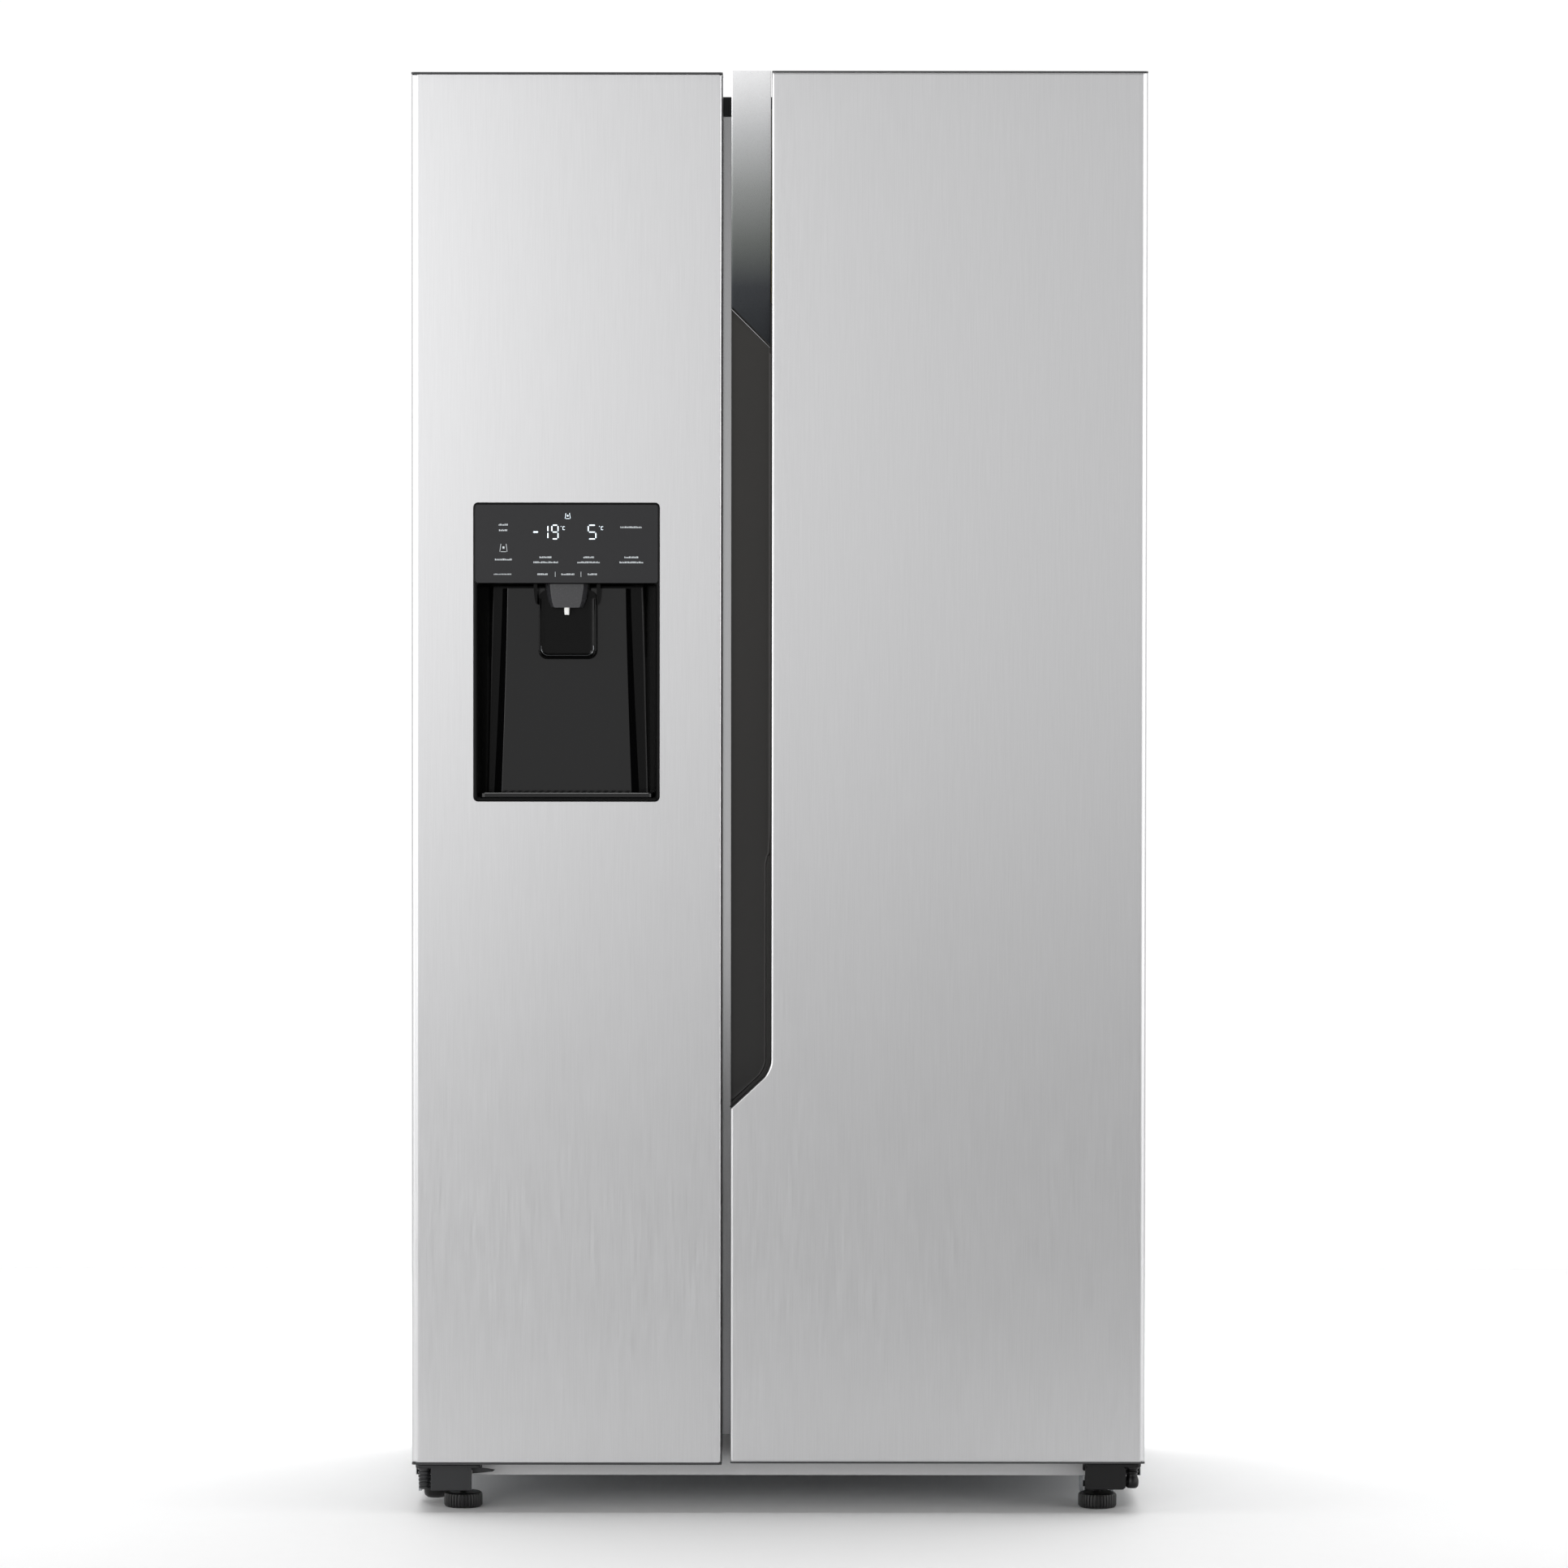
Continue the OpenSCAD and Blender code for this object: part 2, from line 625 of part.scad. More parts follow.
module water_inlet_valve() color([0.2, 0.35, 0.6]) {
  block([-52, 0], [250, 290], [70, 114]);
  block([-46, -24], [256, 284], [113, 139]);
  rod_y(-26, [285, y_rear - 1], 92, 12);
  rod_y(80, [y_wrap - 22, y_wrap + 4], 90, 8.8);
  block([-2, 84], [280, 286], [82, 88]);
  block([72, 88], [284, 300], [80, 100]);
}

module cabinet_screws() color([0.7, 0.7, 0.72]) {
  for (fx = [foot_left_x - 25, foot_left_x + 25, foot_right_x - 25, foot_right_x + 25])
    screw(fx, y_cab - 3.15, 72, 1);
  for (x = [-430, 0, 430])
    for (z = [56, 279])
      screw(x, y_wrap + 0.55, z, -1);
}

module evaporator_fan() color([0.85, 0.85, 0.86]) {
  translate([cool_fan_x, 200, cool_fan_z]) rotate([-90, 0, 0]) fan(44, 14, 3.06, 24);
}

module condenser_fan() color([0.12, 0.12, 0.13]) {
  translate([-88, fan_y, fan_z]) rotate([0, 90, 0]) fan(70, 20, 3.06, 26);
}

module front_roller_left() color([0.1, 0.1, 0.1]) front_roller(-431);

module front_roller_right() color([0.1, 0.1, 0.1]) front_roller(400);

module rear_rollers() color([0.1, 0.1, 0.1]) {
  r = rear_roller_radius;
  for (s = [-1, 1])
    rod_x(s > 0 ? [405, 430] : [-430, -405], 270, r, r);
  rod_x([-428, 428], 270, r, 4);
}

module front_foot_left() color([0.08, 0.08, 0.08]) foot(foot_left_x);

module front_foot_right() color([0.08, 0.08, 0.08]) foot(foot_right_x);

module freezer_drawer_lower() color([0.85, 0.9, 0.92, 0.6]) drawer([-376, -97], [drawer_front + 18, 55], [113, 328]);

module freezer_drawer_upper() color([0.85, 0.9, 0.92, 0.6]) drawer([-376, -97], [drawer_front + 18, 178], [345, 516]);

module crisper_drawer_lower() color([0.85, 0.9, 0.92, 0.6]) drawer([-32, 376], [drawer_front + 18, 55], [113, 328]);

module crisper_drawer_upper() color([0.85, 0.9, 0.92, 0.6]) drawer([-32, 376], [drawer_front + 18, 178], [345, 516]);

module freezer_door_skin() color([0.76, 0.76, 0.77]) {
  difference() {
    door_pan([x_left, gap_left], [fz_low + cap_skirt, fz_high - cap_skirt]);
    front_prism([y_front - 1, y_front + 3]) round_rect([disp_left, disp_right], [disp_low, disp_high], 6);
    hinge_pocket(-1, fz_high);
  }
}

module freezer_door_liner() color([0.95, 0.95, 0.95]) {
  y1 = y_back + liner;
  bulge = [disp_left - 6, disp_right + 6];
  difference() {
    union() {
      inner_panel([x_left + 1.2, gap_left - 1.2], [fz_low + 22.2, fz_high - cap_body - 0.2], [-396, -103], [520, 1668]);
      block(bulge, [y_back, -236], [disp_low - 8, 1290]);
      for (x = [[-374, -366], [-152, -144]])
        block(x, [y1 - 1, tray_y + 8], [tray_z - 10, tray_z + 10]);
    }
    block([bulge[0] + 2, bulge[1] - 2], [y_back - 1, -238], [disp_low - 6, 1288]);
    block([disp_x - 25, disp_x + 25], [y1, -240], [1280, 1292]);
    rod_x([-380, -140], tray_y, tray_z, 4.06);
  }
}

module freezer_door_insulation() color([0.93, 0.9, 0.78]) {
  y = [y_front + 1.2, y_back - 0.2];
  z = [fz_low + 22.2, fz_high - cap_body - 0.2];
  block([x_left + 4.2, disp_left - 1.2], y, z);
  block([disp_right + 1.2, gap_left - 4.2], y, z);
  block([disp_left - 1, disp_right + 1], y, [z[0], disp_low - 1]);
  block([disp_left - 1, disp_right + 1], y, [disp_high + 1, z[1]]);
}

module freezer_top_cap() color([0.2, 0.2, 0.21]) top_cap(-1, [x_left, gap_left], fz_high);

module freezer_bottom_cap() color([0.2, 0.2, 0.21]) bottom_cap(-1, [x_left, gap_left], fz_low);

module freezer_door_gasket() color([0.55, 0.55, 0.56]) {
  front_ring([-436, -73], [y_back + liner + 0.1, y_cab - 0.3], [86, 1714], 15, 15);
}

module dispenser_housing() color([0.03, 0.03, 0.03]) {
  x = [disp_left + 0.3, disp_right - 0.3];
  z = [disp_low + 0.3, disp_high - 0.3];
  yb = y_recess + 3;
  difference() {
    union() {
      front_prism([y_front, y_front + 3]) round_rect(x, z, 5.7);
      block([x[0] + 1, x[1] - 1], [y_front + 2, yb], [z[0] + 1, z[1] - 1]);
    }
    difference() {
      front_prism([y_front - 1, y_recess]) round_rect([x[0] + 4, x[1] - 4], [z[0] + 5, panel_low], 4);
      front_prism([y_recess - 6, y_recess + 1])
        polygon([[-355, z[0]], [-172, z[0]], [-185, panel_low + 1], [-343, panel_low + 1]]);
    }
    block([x[0] + 2, x[1] - 2], [y_front - 1, y_front + 5.7], [panel_low, z[1] - 2]);
    block([x[0] + 6, x[1] - 6], [y_front, y_recess], [panel_low + 4, z[1] - 4]);
    block([disp_x - 33, disp_x + 33], [y_front + 6.5, y_front + 46], [panel_low - 5, panel_low + 5]);
    block([disp_x - 25, disp_x + 25], [-282, y_recess], [z[1] - 6, z[1] + 2]);
  }
  difference() {
    for (s = [-1, 1]) {
      translate([s * 44 + disp_x, 0, 0]) block([-3, 3], [paddle_y - 6, paddle_y + 6], [panel_low + 3, paddle_z + 6]);
      translate([s * 34 + disp_x, 0, 0]) block([-2.5, 2.5], [flap_y - 5, flap_y + 5], [flap_z - 5, z[1] - 3]);
    }
    rod_x([disp_x - 60, disp_x + 60], paddle_y, paddle_z, 2.56);
    rod_x([disp_x - 60, disp_x + 60], flap_y, flap_z, 1.56);
  }
}

module control_panel() color([0.21, 0.21, 0.22]) {
  x = [disp_left + 2.5, disp_right - 2.5];
  block(x, [y_front + 0.3, y_front + 5.5], [panel_low + 0.3, disp_high - 2.5]);
}

module dispenser_spout() color([0.3, 0.3, 0.31]) {
  y = [y_front + 7, y_front + 31];
  z = [panel_low - 30, panel_low + 4.2];
  difference() {
    union() {
      front_prism(y) polygon([[disp_x - 19.5, z[0]], [disp_x + 19.5, z[0]], [disp_x + 24, z[0] + 12],
        [disp_x + 26, panel_low], [disp_x + 26, z[1]], [disp_x - 26, z[1]], [disp_x - 26, panel_low], [disp_x - 24, z[0] + 12]]);
      block([disp_x - 38, disp_x + 38], [y[0], y[1]], [z[1], z[1] + 2]);
    }
    block([disp_x - 15, disp_x + 15], [y[0] + 8.5, y[1] - 2.5], [z[0] - 1, z[1] + 3]);
    rod_z(disp_x, y[0] + 4.5, [z[0] - 1, z[1] + 3], 3.4);
  }
}

module water_nozzle() color([0.92, 0.92, 0.92]) {
  rod_z(disp_x, y_front + 11.5, [panel_low - 39, panel_low + 20], 3.3);
}

module drip_tray() color([0.05, 0.05, 0.05]) {
  difference() {
    block([disp_left + 8.6, disp_right - 8.6], [y_front + 1.5, y_recess - 6.5], [disp_low + 5.4, disp_low + 11]);
    for (x = [disp_left + 16 : 10 : disp_right - 20])
      block([x, x + 5], [y_front + 8, y_recess - 13], [disp_low + 7.4, disp_low + 12]);
  }
}

module dispenser_paddle() color([0.02, 0.02, 0.02]) {
  w = paddle_width / 2;
  difference() {
    union() {
      front_prism([paddle_y - 2, paddle_y + 2]) round_rect([disp_x - w, disp_x + w], [paddle_low, panel_low - 6], 11);
      front_prism([paddle_y - 6, paddle_y - 1]) difference() {
        round_rect([disp_x - w, disp_x + w], [paddle_low, paddle_low + 40], 11);
        round_rect([disp_x - w + 3, disp_x + w - 3], [paddle_low + 3, paddle_low + 60], 9);
        translate([disp_x - w - 1, paddle_low + 14]) square([2 * w + 2, 40]);
      }
      block([disp_x - 28, disp_x + 28], [paddle_y - 2, paddle_y + 2], [panel_low - 8, paddle_z]);
    }
  }
  rod_x([disp_x - 46.5, disp_x + 46.5], paddle_y, paddle_z, 2.5);
}

module chute_flap() color([0.25, 0.25, 0.26]) {
  block([disp_x - 28, disp_x + 28], [flap_y, y_recess - 0.6], [flap_z - 1, flap_z + 1]);
  rod_x([disp_x - 36, disp_x + 36], flap_y, flap_z, 1.5);
}

module ice_bucket() color([0.8, 0.88, 0.92, 0.5]) {
  x = [-381, -141];
  y = [y_back + liner + 0.6, -134];
  difference() {
    union() {
      open_box(x, y, [1292, 1500], 3, 3);
      rod_y(disp_x, [y[1] - 3, y[1] + 3], auger_z, 12);
    }
    block([disp_x - 25, disp_x + 25], [y[0] + 3, -240], [1290, 1300]);
    rod_y(disp_x, [y[1] - 5, y[1] + 5], auger_z, 6.06);
  }
}

module ice_auger() color([0.7, 0.71, 0.73]) {
  y0 = y_back + liner + 6;
  rod_y(disp_x, [y0, -132], auger_z, 6);
  for (i = [0 : 4])
    translate([disp_x, y0 + 8 + i * 22, auger_z]) rotate([0, i * 72, 0]) {
      translate([-3, 0, 0]) cube([6, 6, 38]);
    }
}

module ice_tray() color([0.9, 0.92, 0.95]) {
  difference() {
    block([-362, -156], [tray_y - 46, tray_y + 46], [tray_z - 14, tray_z + 14]);
    for (i = [0 : 5])
      for (y = [tray_y - 42, tray_y + 2])
        block([-357 + i * 33, -329 + i * 33], [y, y + 40], [tray_z - 11, tray_z + 15]);
  }
  rod_x([-373.5, -361], tray_y, tray_z, 4);
  rod_x([-157, -144.5], tray_y, tray_z, 4);
}

module freezer_door_bins() color([0.85, 0.9, 0.93, 0.6]) {
  for (z = freezer_bin_z)
    bin([-381, -132], z);
}

module fridge_door_skin() color([0.76, 0.76, 0.77]) {
  difference() {
    union() {
      difference() {
        door_pan([gap_right, x_right], [fr_low + cap_skirt, fr_high - cap_skirt]);
        front_prism([y_front - 1, y_back + 1]) union() {
          channel_outline(1);
          block2([-75, handle_high - 60], [handle_edge, height + 5]);
        }
      }
      front_prism([y_front, y_front + 8]) difference() {
        channel_outline(2);
        channel_outline(1);
        block2([-80, 400], [gap_right + 0.01, height]);
        block2([-80, handle_high - 60], [60, height]);
      }
      block([handle_edge, handle_edge + 1], [y_front, y_front + 8], [handle_high - 62, fr_high - cap_skirt]);
    }
    hinge_pocket(1, fr_high);
  }
}

// Rectangle between two corners.
module block2(lo, hi) {
  translate(lo) square([hi[0] - lo[0], hi[1] - lo[1]]);
}

module fridge_door_liner() color([0.95, 0.95, 0.95]) {
  inner_panel([gap_right + 1.2, x_right - 1.2], [fr_low + 22.2, fr_high - cap_body - 0.2], [-27, 401], [520, 1668]);
}

module fridge_door_insulation() color([0.93, 0.9, 0.78]) {
  y = [y_front + 1.2, y_back - 0.2];
  z = [fr_low + 22.2, fr_high - cap_body - 0.2];
  x = [gap_right + 4.2, 14.2];
  block([x[1] + 0.2, x_right - 4.2], y, z);
  block(x, y, [z[0], handle_tip - 20]);
  block(x, [y_floor + 2.2, y[1]], [handle_tip - 19.8, handle_high + 8]);
  block(x, [y_floor + 2.2, y[1]], [handle_high + 8.2, z[1]]);
}

module fridge_top_cap() color([0.2, 0.2, 0.21]) {
  top_cap(1, [handle_edge + 0.1, x_right], fr_high);
}

module fridge_bottom_cap() color([0.2, 0.2, 0.21]) bottom_cap(1, [gap_right, x_right], fr_low);

module fridge_door_gasket() color([0.55, 0.55, 0.56]) {
  front_ring([-57, 436], [y_back + liner + 0.1, y_cab - 0.3], [86, 1714], 15, 15);
}

module handle_recess() color([0.21, 0.2, 0.19]) {
  difference() {
    union() {
      front_prism([y_front + 8.2, y_floor + 2])
        polygon([[gap_right + 1.2, handle_tip - 18], [14, handle_low - 26], [14, handle_high + 7],
          [gap_right, handle_high + 7], [gap_right, handle_tip + 1], [gap_right + 1.2, handle_tip + 1]]);
      front_prism([y_front + 1, y_front + 9]) difference() {
        channel_outline(0.8);
        block2([-80, 400], [gap_right, height]);
        block2([-80, handle_high - 60], [60, height]);
      }
    }
    front_prism([y_front - 5, y_floor]) difference() {
      channel_outline(0);
      difference() {
        block2([-80, 400], [60, lip_top]);
        channel_outline(-5);
      }
    }
    front_prism([y_front - 5, y_front + 12]) channel_outline(0);
    block([handle_edge - 3, 12], [y_front + 12, y_floor], [handle_low + 14, handle_high - handle_drop - 6]);
    block([-75, 60], [y_front - 5, y_front + 20], [handle_high + 1, height]);
    block([-75, handle_edge], [y_front - 5, y_floor - 0.4], [handle_high - handle_drop - 2, height]);
  }
}

module handle_trim() color([0.72, 0.73, 0.74]) {
  x = [gap_right, handle_edge - 0.2];
  steps = [for (i = [0 : 20]) 1430 + i * (height - 1430) / 20];
  front_pts = [for (z = steps) [trim_y(z), z]];
  back_pts = [for (i = [20 : -1 : 0]) [trim_y(steps[i]) + 2.5, steps[i]]];
  difference() {
    union() {
      side_prism(x) polygon(concat(front_pts, back_pts));
      side_prism([x[0], x[0] + 1.5]) polygon(concat(front_pts, [[y_back, height], [y_back, 1430]]));
      side_prism([x[1] - 0.8, x[1]]) polygon(concat([[y_front + 0.2, 1430]], front_pts));
      block(x, [trim_y(height), y_back], [height - 2.5, height]);
    }
    front_prism([y_front - 5, y_back + 5])
      polygon([[-80, 1400], [20, 1400], [handle_edge + 2, handle_high - handle_drop + 1.2], [gap_right, handle_high + 1], [-80, handle_high + 21]]);
    block([-80, 20], [y_floor - 0.5, y_back + 5], [1400, handle_high + 8]);
  }
}

module fridge_door_bins() color([0.85, 0.9, 0.93, 0.6]) {
  for (z = fridge_bin_z)
    bin([-12, 386], z);
}

cabinet_wrapper();
back_panel();
bottom_rail();
centre_mullion();
base_tray();
cabinet_insulation();
freezer_liner();
fridge_liner();
top_cover();
upper_hinge_left();
upper_hinge_right();
lower_hinge_left();
lower_hinge_right();
machine_cover();
compressor();
condenser();
evaporator();
freezer_duct_cover();
fridge_duct_cover();
freezer_shelves();
fridge_shelves();
water_inlet_valve();
cabinet_screws();
evaporator_fan();
condenser_fan();
front_roller_left();
front_roller_right();
rear_rollers();
front_foot_left();
front_foot_right();
freezer_drawer_lower();
freezer_drawer_upper();
crisper_drawer_lower();
crisper_drawer_upper();
freezer_door_skin();
freezer_door_liner();
freezer_door_insulation();
freezer_top_cap();
freezer_bottom_cap();
freezer_door_gasket();
dispenser_housing();
control_panel();
dispenser_spout();
water_nozzle();
drip_tray();
dispenser_paddle();
chute_flap();
ice_bucket();
ice_auger();
ice_tray();
freezer_door_bins();
fridge_door_skin();
fridge_door_liner();
fridge_door_insulation();
fridge_top_cap();
fridge_bottom_cap();
fridge_door_gasket();
handle_recess();
handle_trim();
fridge_door_bins();
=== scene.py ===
"""Side-by-side refrigerator: the finished surfaces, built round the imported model.

Lengths in this file are millimetres; one factor turns them to metres when a mesh is made.
"""
import json
import math

import bmesh
import bpy
import mathutils
import numpy as np
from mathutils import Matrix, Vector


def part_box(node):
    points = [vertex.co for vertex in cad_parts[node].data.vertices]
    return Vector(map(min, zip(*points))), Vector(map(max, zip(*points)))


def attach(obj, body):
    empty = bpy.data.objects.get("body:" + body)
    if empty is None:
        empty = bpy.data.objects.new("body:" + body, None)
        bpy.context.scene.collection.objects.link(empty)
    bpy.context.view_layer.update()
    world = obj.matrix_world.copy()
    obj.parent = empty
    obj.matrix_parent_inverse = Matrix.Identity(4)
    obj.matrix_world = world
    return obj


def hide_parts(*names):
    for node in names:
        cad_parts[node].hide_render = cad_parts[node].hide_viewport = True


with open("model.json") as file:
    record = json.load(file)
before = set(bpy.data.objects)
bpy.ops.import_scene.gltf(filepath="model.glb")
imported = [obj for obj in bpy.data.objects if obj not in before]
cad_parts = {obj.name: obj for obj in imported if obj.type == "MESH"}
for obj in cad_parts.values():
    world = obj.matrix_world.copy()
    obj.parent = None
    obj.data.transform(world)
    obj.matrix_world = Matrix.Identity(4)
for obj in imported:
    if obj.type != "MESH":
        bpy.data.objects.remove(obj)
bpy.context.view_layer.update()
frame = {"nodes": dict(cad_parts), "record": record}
MM = 0.001
NODES = frame["record"]["subparts"]
SLOT_OF = {s["node"]: s["material_slot"] for s in NODES}
BODY_OF = {n: b for b, ns in frame["record"]["behaviour"]["bodies"].items() for n in ns}
USED = set()


def span(node):
    """Lowest and highest corner of a CAD node, in millimetres."""
    low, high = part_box(node)
    return np.array(low) / MM, np.array(high) / MM


# ---------------------------------------------------------------- surfaces

def rect_loop(x0, x1, y0, y1, r, k=5):
    """Closed rounded rectangle, anticlockwise: a quarter circle of radius r at each corner."""
    a = np.linspace(0, np.pi / 2, k + 1)
    r = min(r, (x1 - x0) / 2, (y1 - y0) / 2)
    turn = a[None, :] + np.arange(4)[:, None] * np.pi / 2
    cx = np.array([x1 - r, x0 + r, x0 + r, x1 - r])[:, None]
    cy = np.array([y1 - r, y1 - r, y0 + r, y0 + r])[:, None]
    return np.stack([(cx + r * np.cos(turn)).ravel(), (cy + r * np.sin(turn)).ravel()], 1)


def stand_up(flat, w, axis):
    """Puts a plane loop at place w along an axis: (x, y) for z, (x, z) for y, (y, z) for x."""
    w = np.full(len(flat), w)
    a, b = flat[:, 0], flat[:, 1]
    return np.stack({"z": (a, b, w), "y": (a, w, b), "x": (w, a, b)}[axis], 1)


def skin(points, wrap_u=False, wrap_v=True, caps=True):
    """Faces over a grid of points; u counts stations and v runs along each of them."""
    nu, nv = points.shape[:2]
    index = np.arange(nu * nv).reshape(nu, nv)
    if wrap_u:
        index = np.vstack([index, index[:1]])
    if wrap_v:
        index = np.hstack([index, index[:, :1]])
    quads = np.stack([index[:-1, :-1], index[:-1, 1:], index[1:, 1:], index[1:, :-1]], -1)
    faces = quads.reshape(-1, 4).tolist()
    if caps and wrap_v and not wrap_u:
        faces += [list(range(nv))[::-1], list(range((nu - 1) * nv, nu * nv))]
    return points.reshape(-1, 3), faces


def rings(rect, profile, r=4.0, axis="z", k=5, close=False):
    """Carries a profile of (inset, place) round a rounded rectangle.

    Each station is the rectangle pulled in by inset on all sides, or by (left, right, low,
    high), at that place along the axis. The corner radius shrinks with the inset.
    """
    rows = []
    for inset, place in profile:
        l, rr, b, t = inset if isinstance(inset, tuple) else (inset,) * 4
        loop = rect_loop(rect[0] + l, rect[1] - rr, rect[2] + b, rect[3] - t,
                max(r - min(l, rr, b, t), 0.25), k)
        rows.append(stand_up(loop, place, axis))
    return skin(np.array(rows), wrap_u=close)


def rim(e, n=3):
    """Quarter circle of radius e as (inset, rise): from (e, 0) out to (0, e)."""
    a = np.linspace(0, np.pi / 2, n + 1)
    return [(e * (1 - math.sin(t)), e * (1 - math.cos(t))) for t in a]


def slab(x, y, z, r=2.0, e=0.8, axis="z", k=4, n=2):
    """Plate with rounded corners of radius r and all rims eased by e; it is extruded along axis."""
    spans = {"z": (x, y, z), "y": (x, z, y), "x": (y, z, x)}[axis]
    lo, hi = spans[2]
    soft = rim(e, n)
    profile = [(i, lo + h) for i, h in soft] + [(i, hi - h) for i, h in soft[::-1]]
    return rings((*spans[0], *spans[1]), profile, max(r, e), axis, k)


def tub(x, y, z, r, wall=3.0, floor=3.0):
    """Open-topped moulded box: up the outer wall, over a rounded rim and down the inner wall."""
    e = wall * 0.45
    profile = [(i, z[0] + h) for i, h in rim(6.0, 4)]
    profile += [(0.0, z[1] - 5 - e), (0.0, z[1] - 5), (0.0, z[1] - e)]
    profile += [(e, z[1]), (wall - e, z[1]), (wall, z[1] - e)]
    profile += [(wall + i, z[0] + floor + h) for i, h in rim(5.0, 4)[::-1]]
    return rings((*x, *y), profile, r)


def lathe(profile, centre, axis="z", n=48, wave=None):
    """Turns (radius, place) about an axis; wave(angle, place) adds to the radius, as knurling does."""
    a = np.linspace(0, 2 * np.pi, n, endpoint=False)
    rows = []
    for rad, place in profile:
        rr = rad + (wave(a, place) if wave else 0.0)
        flat = np.stack([np.cos(a) * rr, np.sin(a) * rr], 1)
        rows.append(stand_up(flat, place, axis) + np.array(centre))
    return skin(np.array(rows))


def tube(path, radius, n=10, closed=False):
    """Round tube along a path, on frames carried from point to point."""
    p = np.asarray(path, float)
    t = np.gradient(p, axis=0)
    t /= np.linalg.norm(t, axis=1)[:, None]
    up = np.array([0.31, 0.17, 0.93])
    s = np.cross(t, up)
    s /= np.linalg.norm(s, axis=1)[:, None]
    b = np.cross(t, s)
    a = np.linspace(0, 2 * np.pi, n, endpoint=False)
    ring = p[:, None] + radius * (np.cos(a)[None, :, None] * s[:, None] + np.sin(a)[None, :, None] * b[:,
            None])
    return skin(ring, wrap_u=closed)


def prism(outline, lo, hi, axis="y"):
    """A plane outline extruded along an axis."""
    flat = np.array(outline, float)
    return skin(np.array([stand_up(flat, lo, axis), stand_up(flat, hi, axis)]))


def column(x, y, z):
    """Points at heights z; x and y are numbers, or run along with z."""
    return np.stack(np.broadcast_arrays(x, y, z), 1)


def upright(columns):
    """Skin over columns of points that share their heights."""
    return skin(np.array(columns).transpose(1, 0, 2))


def leaned(shape, angle, centre):
    """A shape turned in the front plane about centre."""
    v = shape[0] - np.array(centre, float)
    c, s = math.cos(angle), math.sin(angle)
    out = v.copy()
    out[:, 2], out[:, 0] = c * v[:, 2] - s * v[:, 0], s * v[:, 2] + c * v[:, 0]
    return out + np.array(centre, float), shape[1]


def shaft(radius, tip, x, ease, centre, axis="x", n=24):
    """Round bar between two places, its ends eased down to the tip's radius."""
    profile = [(tip, x[0]), (radius, x[0] + ease), (radius, x[1] - ease), (tip, x[1])]
    return lathe(profile, centre, axis, n)


def mirrored(half):
    """Points right of the middle, followed by their mirror images in reverse."""
    return half + [(-x, y) for x, y in half[::-1]]


def linked(name, data):
    """A new object at the origin, linked into the scene."""
    obj = bpy.data.objects.new(name, data)
    bpy.context.scene.collection.objects.link(obj)
    return obj


def piece(name, shapes, material, node, extra=False, sharp=32.0):
    """Joins shapes into one mesh object that rides on node's body and takes the given material. It stands in
    for the node, unless it is an extra beside the piece that does."""
    replaces = () if extra else (node,)
    verts, faces, base = [], [], 0
    for v, f in shapes:
        verts.append(v)
        faces += [[i + base for i in q] for q in f]
        base += len(v)
    mesh = bpy.data.meshes.new(name)
    mesh.from_pydata((np.vstack(verts) * MM).tolist(), [], faces)
    bm = bmesh.new()
    bm.from_mesh(mesh)
    bmesh.ops.remove_doubles(bm, verts=bm.verts, dist=1e-6)
    bmesh.ops.recalc_face_normals(bm, faces=bm.faces)
    bm.to_mesh(mesh)
    bm.free()
    mesh.shade_smooth()
    mesh.set_sharp_from_angle(angle=math.radians(sharp))
    mesh.materials.append(material)
    obj = linked(name, mesh)
    even = obj.modifiers.new("even_normals", "WEIGHTED_NORMAL")
    even.keep_sharp = True
    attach(obj, BODY_OF[node])
    if replaces:
        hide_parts(*replaces)
        USED.update(replaces)
    return obj


# ---------------------------------------------------------------- materials

def linear(code, alpha=1.0):
    """sRGB hex to linear RGBA."""
    c = np.array([int(code[i:i + 2], 16) for i in (1, 3, 5)]) / 255
    c = np.where(c <= 0.04045, c / 12.92, ((c + 0.055) / 1.055) ** 2.4)
    return (*c.tolist(), alpha)


def add(tree, kind, inputs=None, **settings):
    """Adds one node with its settings; each input is a value or another node's output."""
    n = tree.nodes.new("ShaderNode" + kind)
    for key, value in settings.items():
        setattr(n, key, value)
    for key, value in (inputs or {}).items():
        if isinstance(value, bpy.types.NodeSocket):
            tree.links.new(value, n.inputs[key])
        else:
            n.inputs[key].default_value = value
    return n


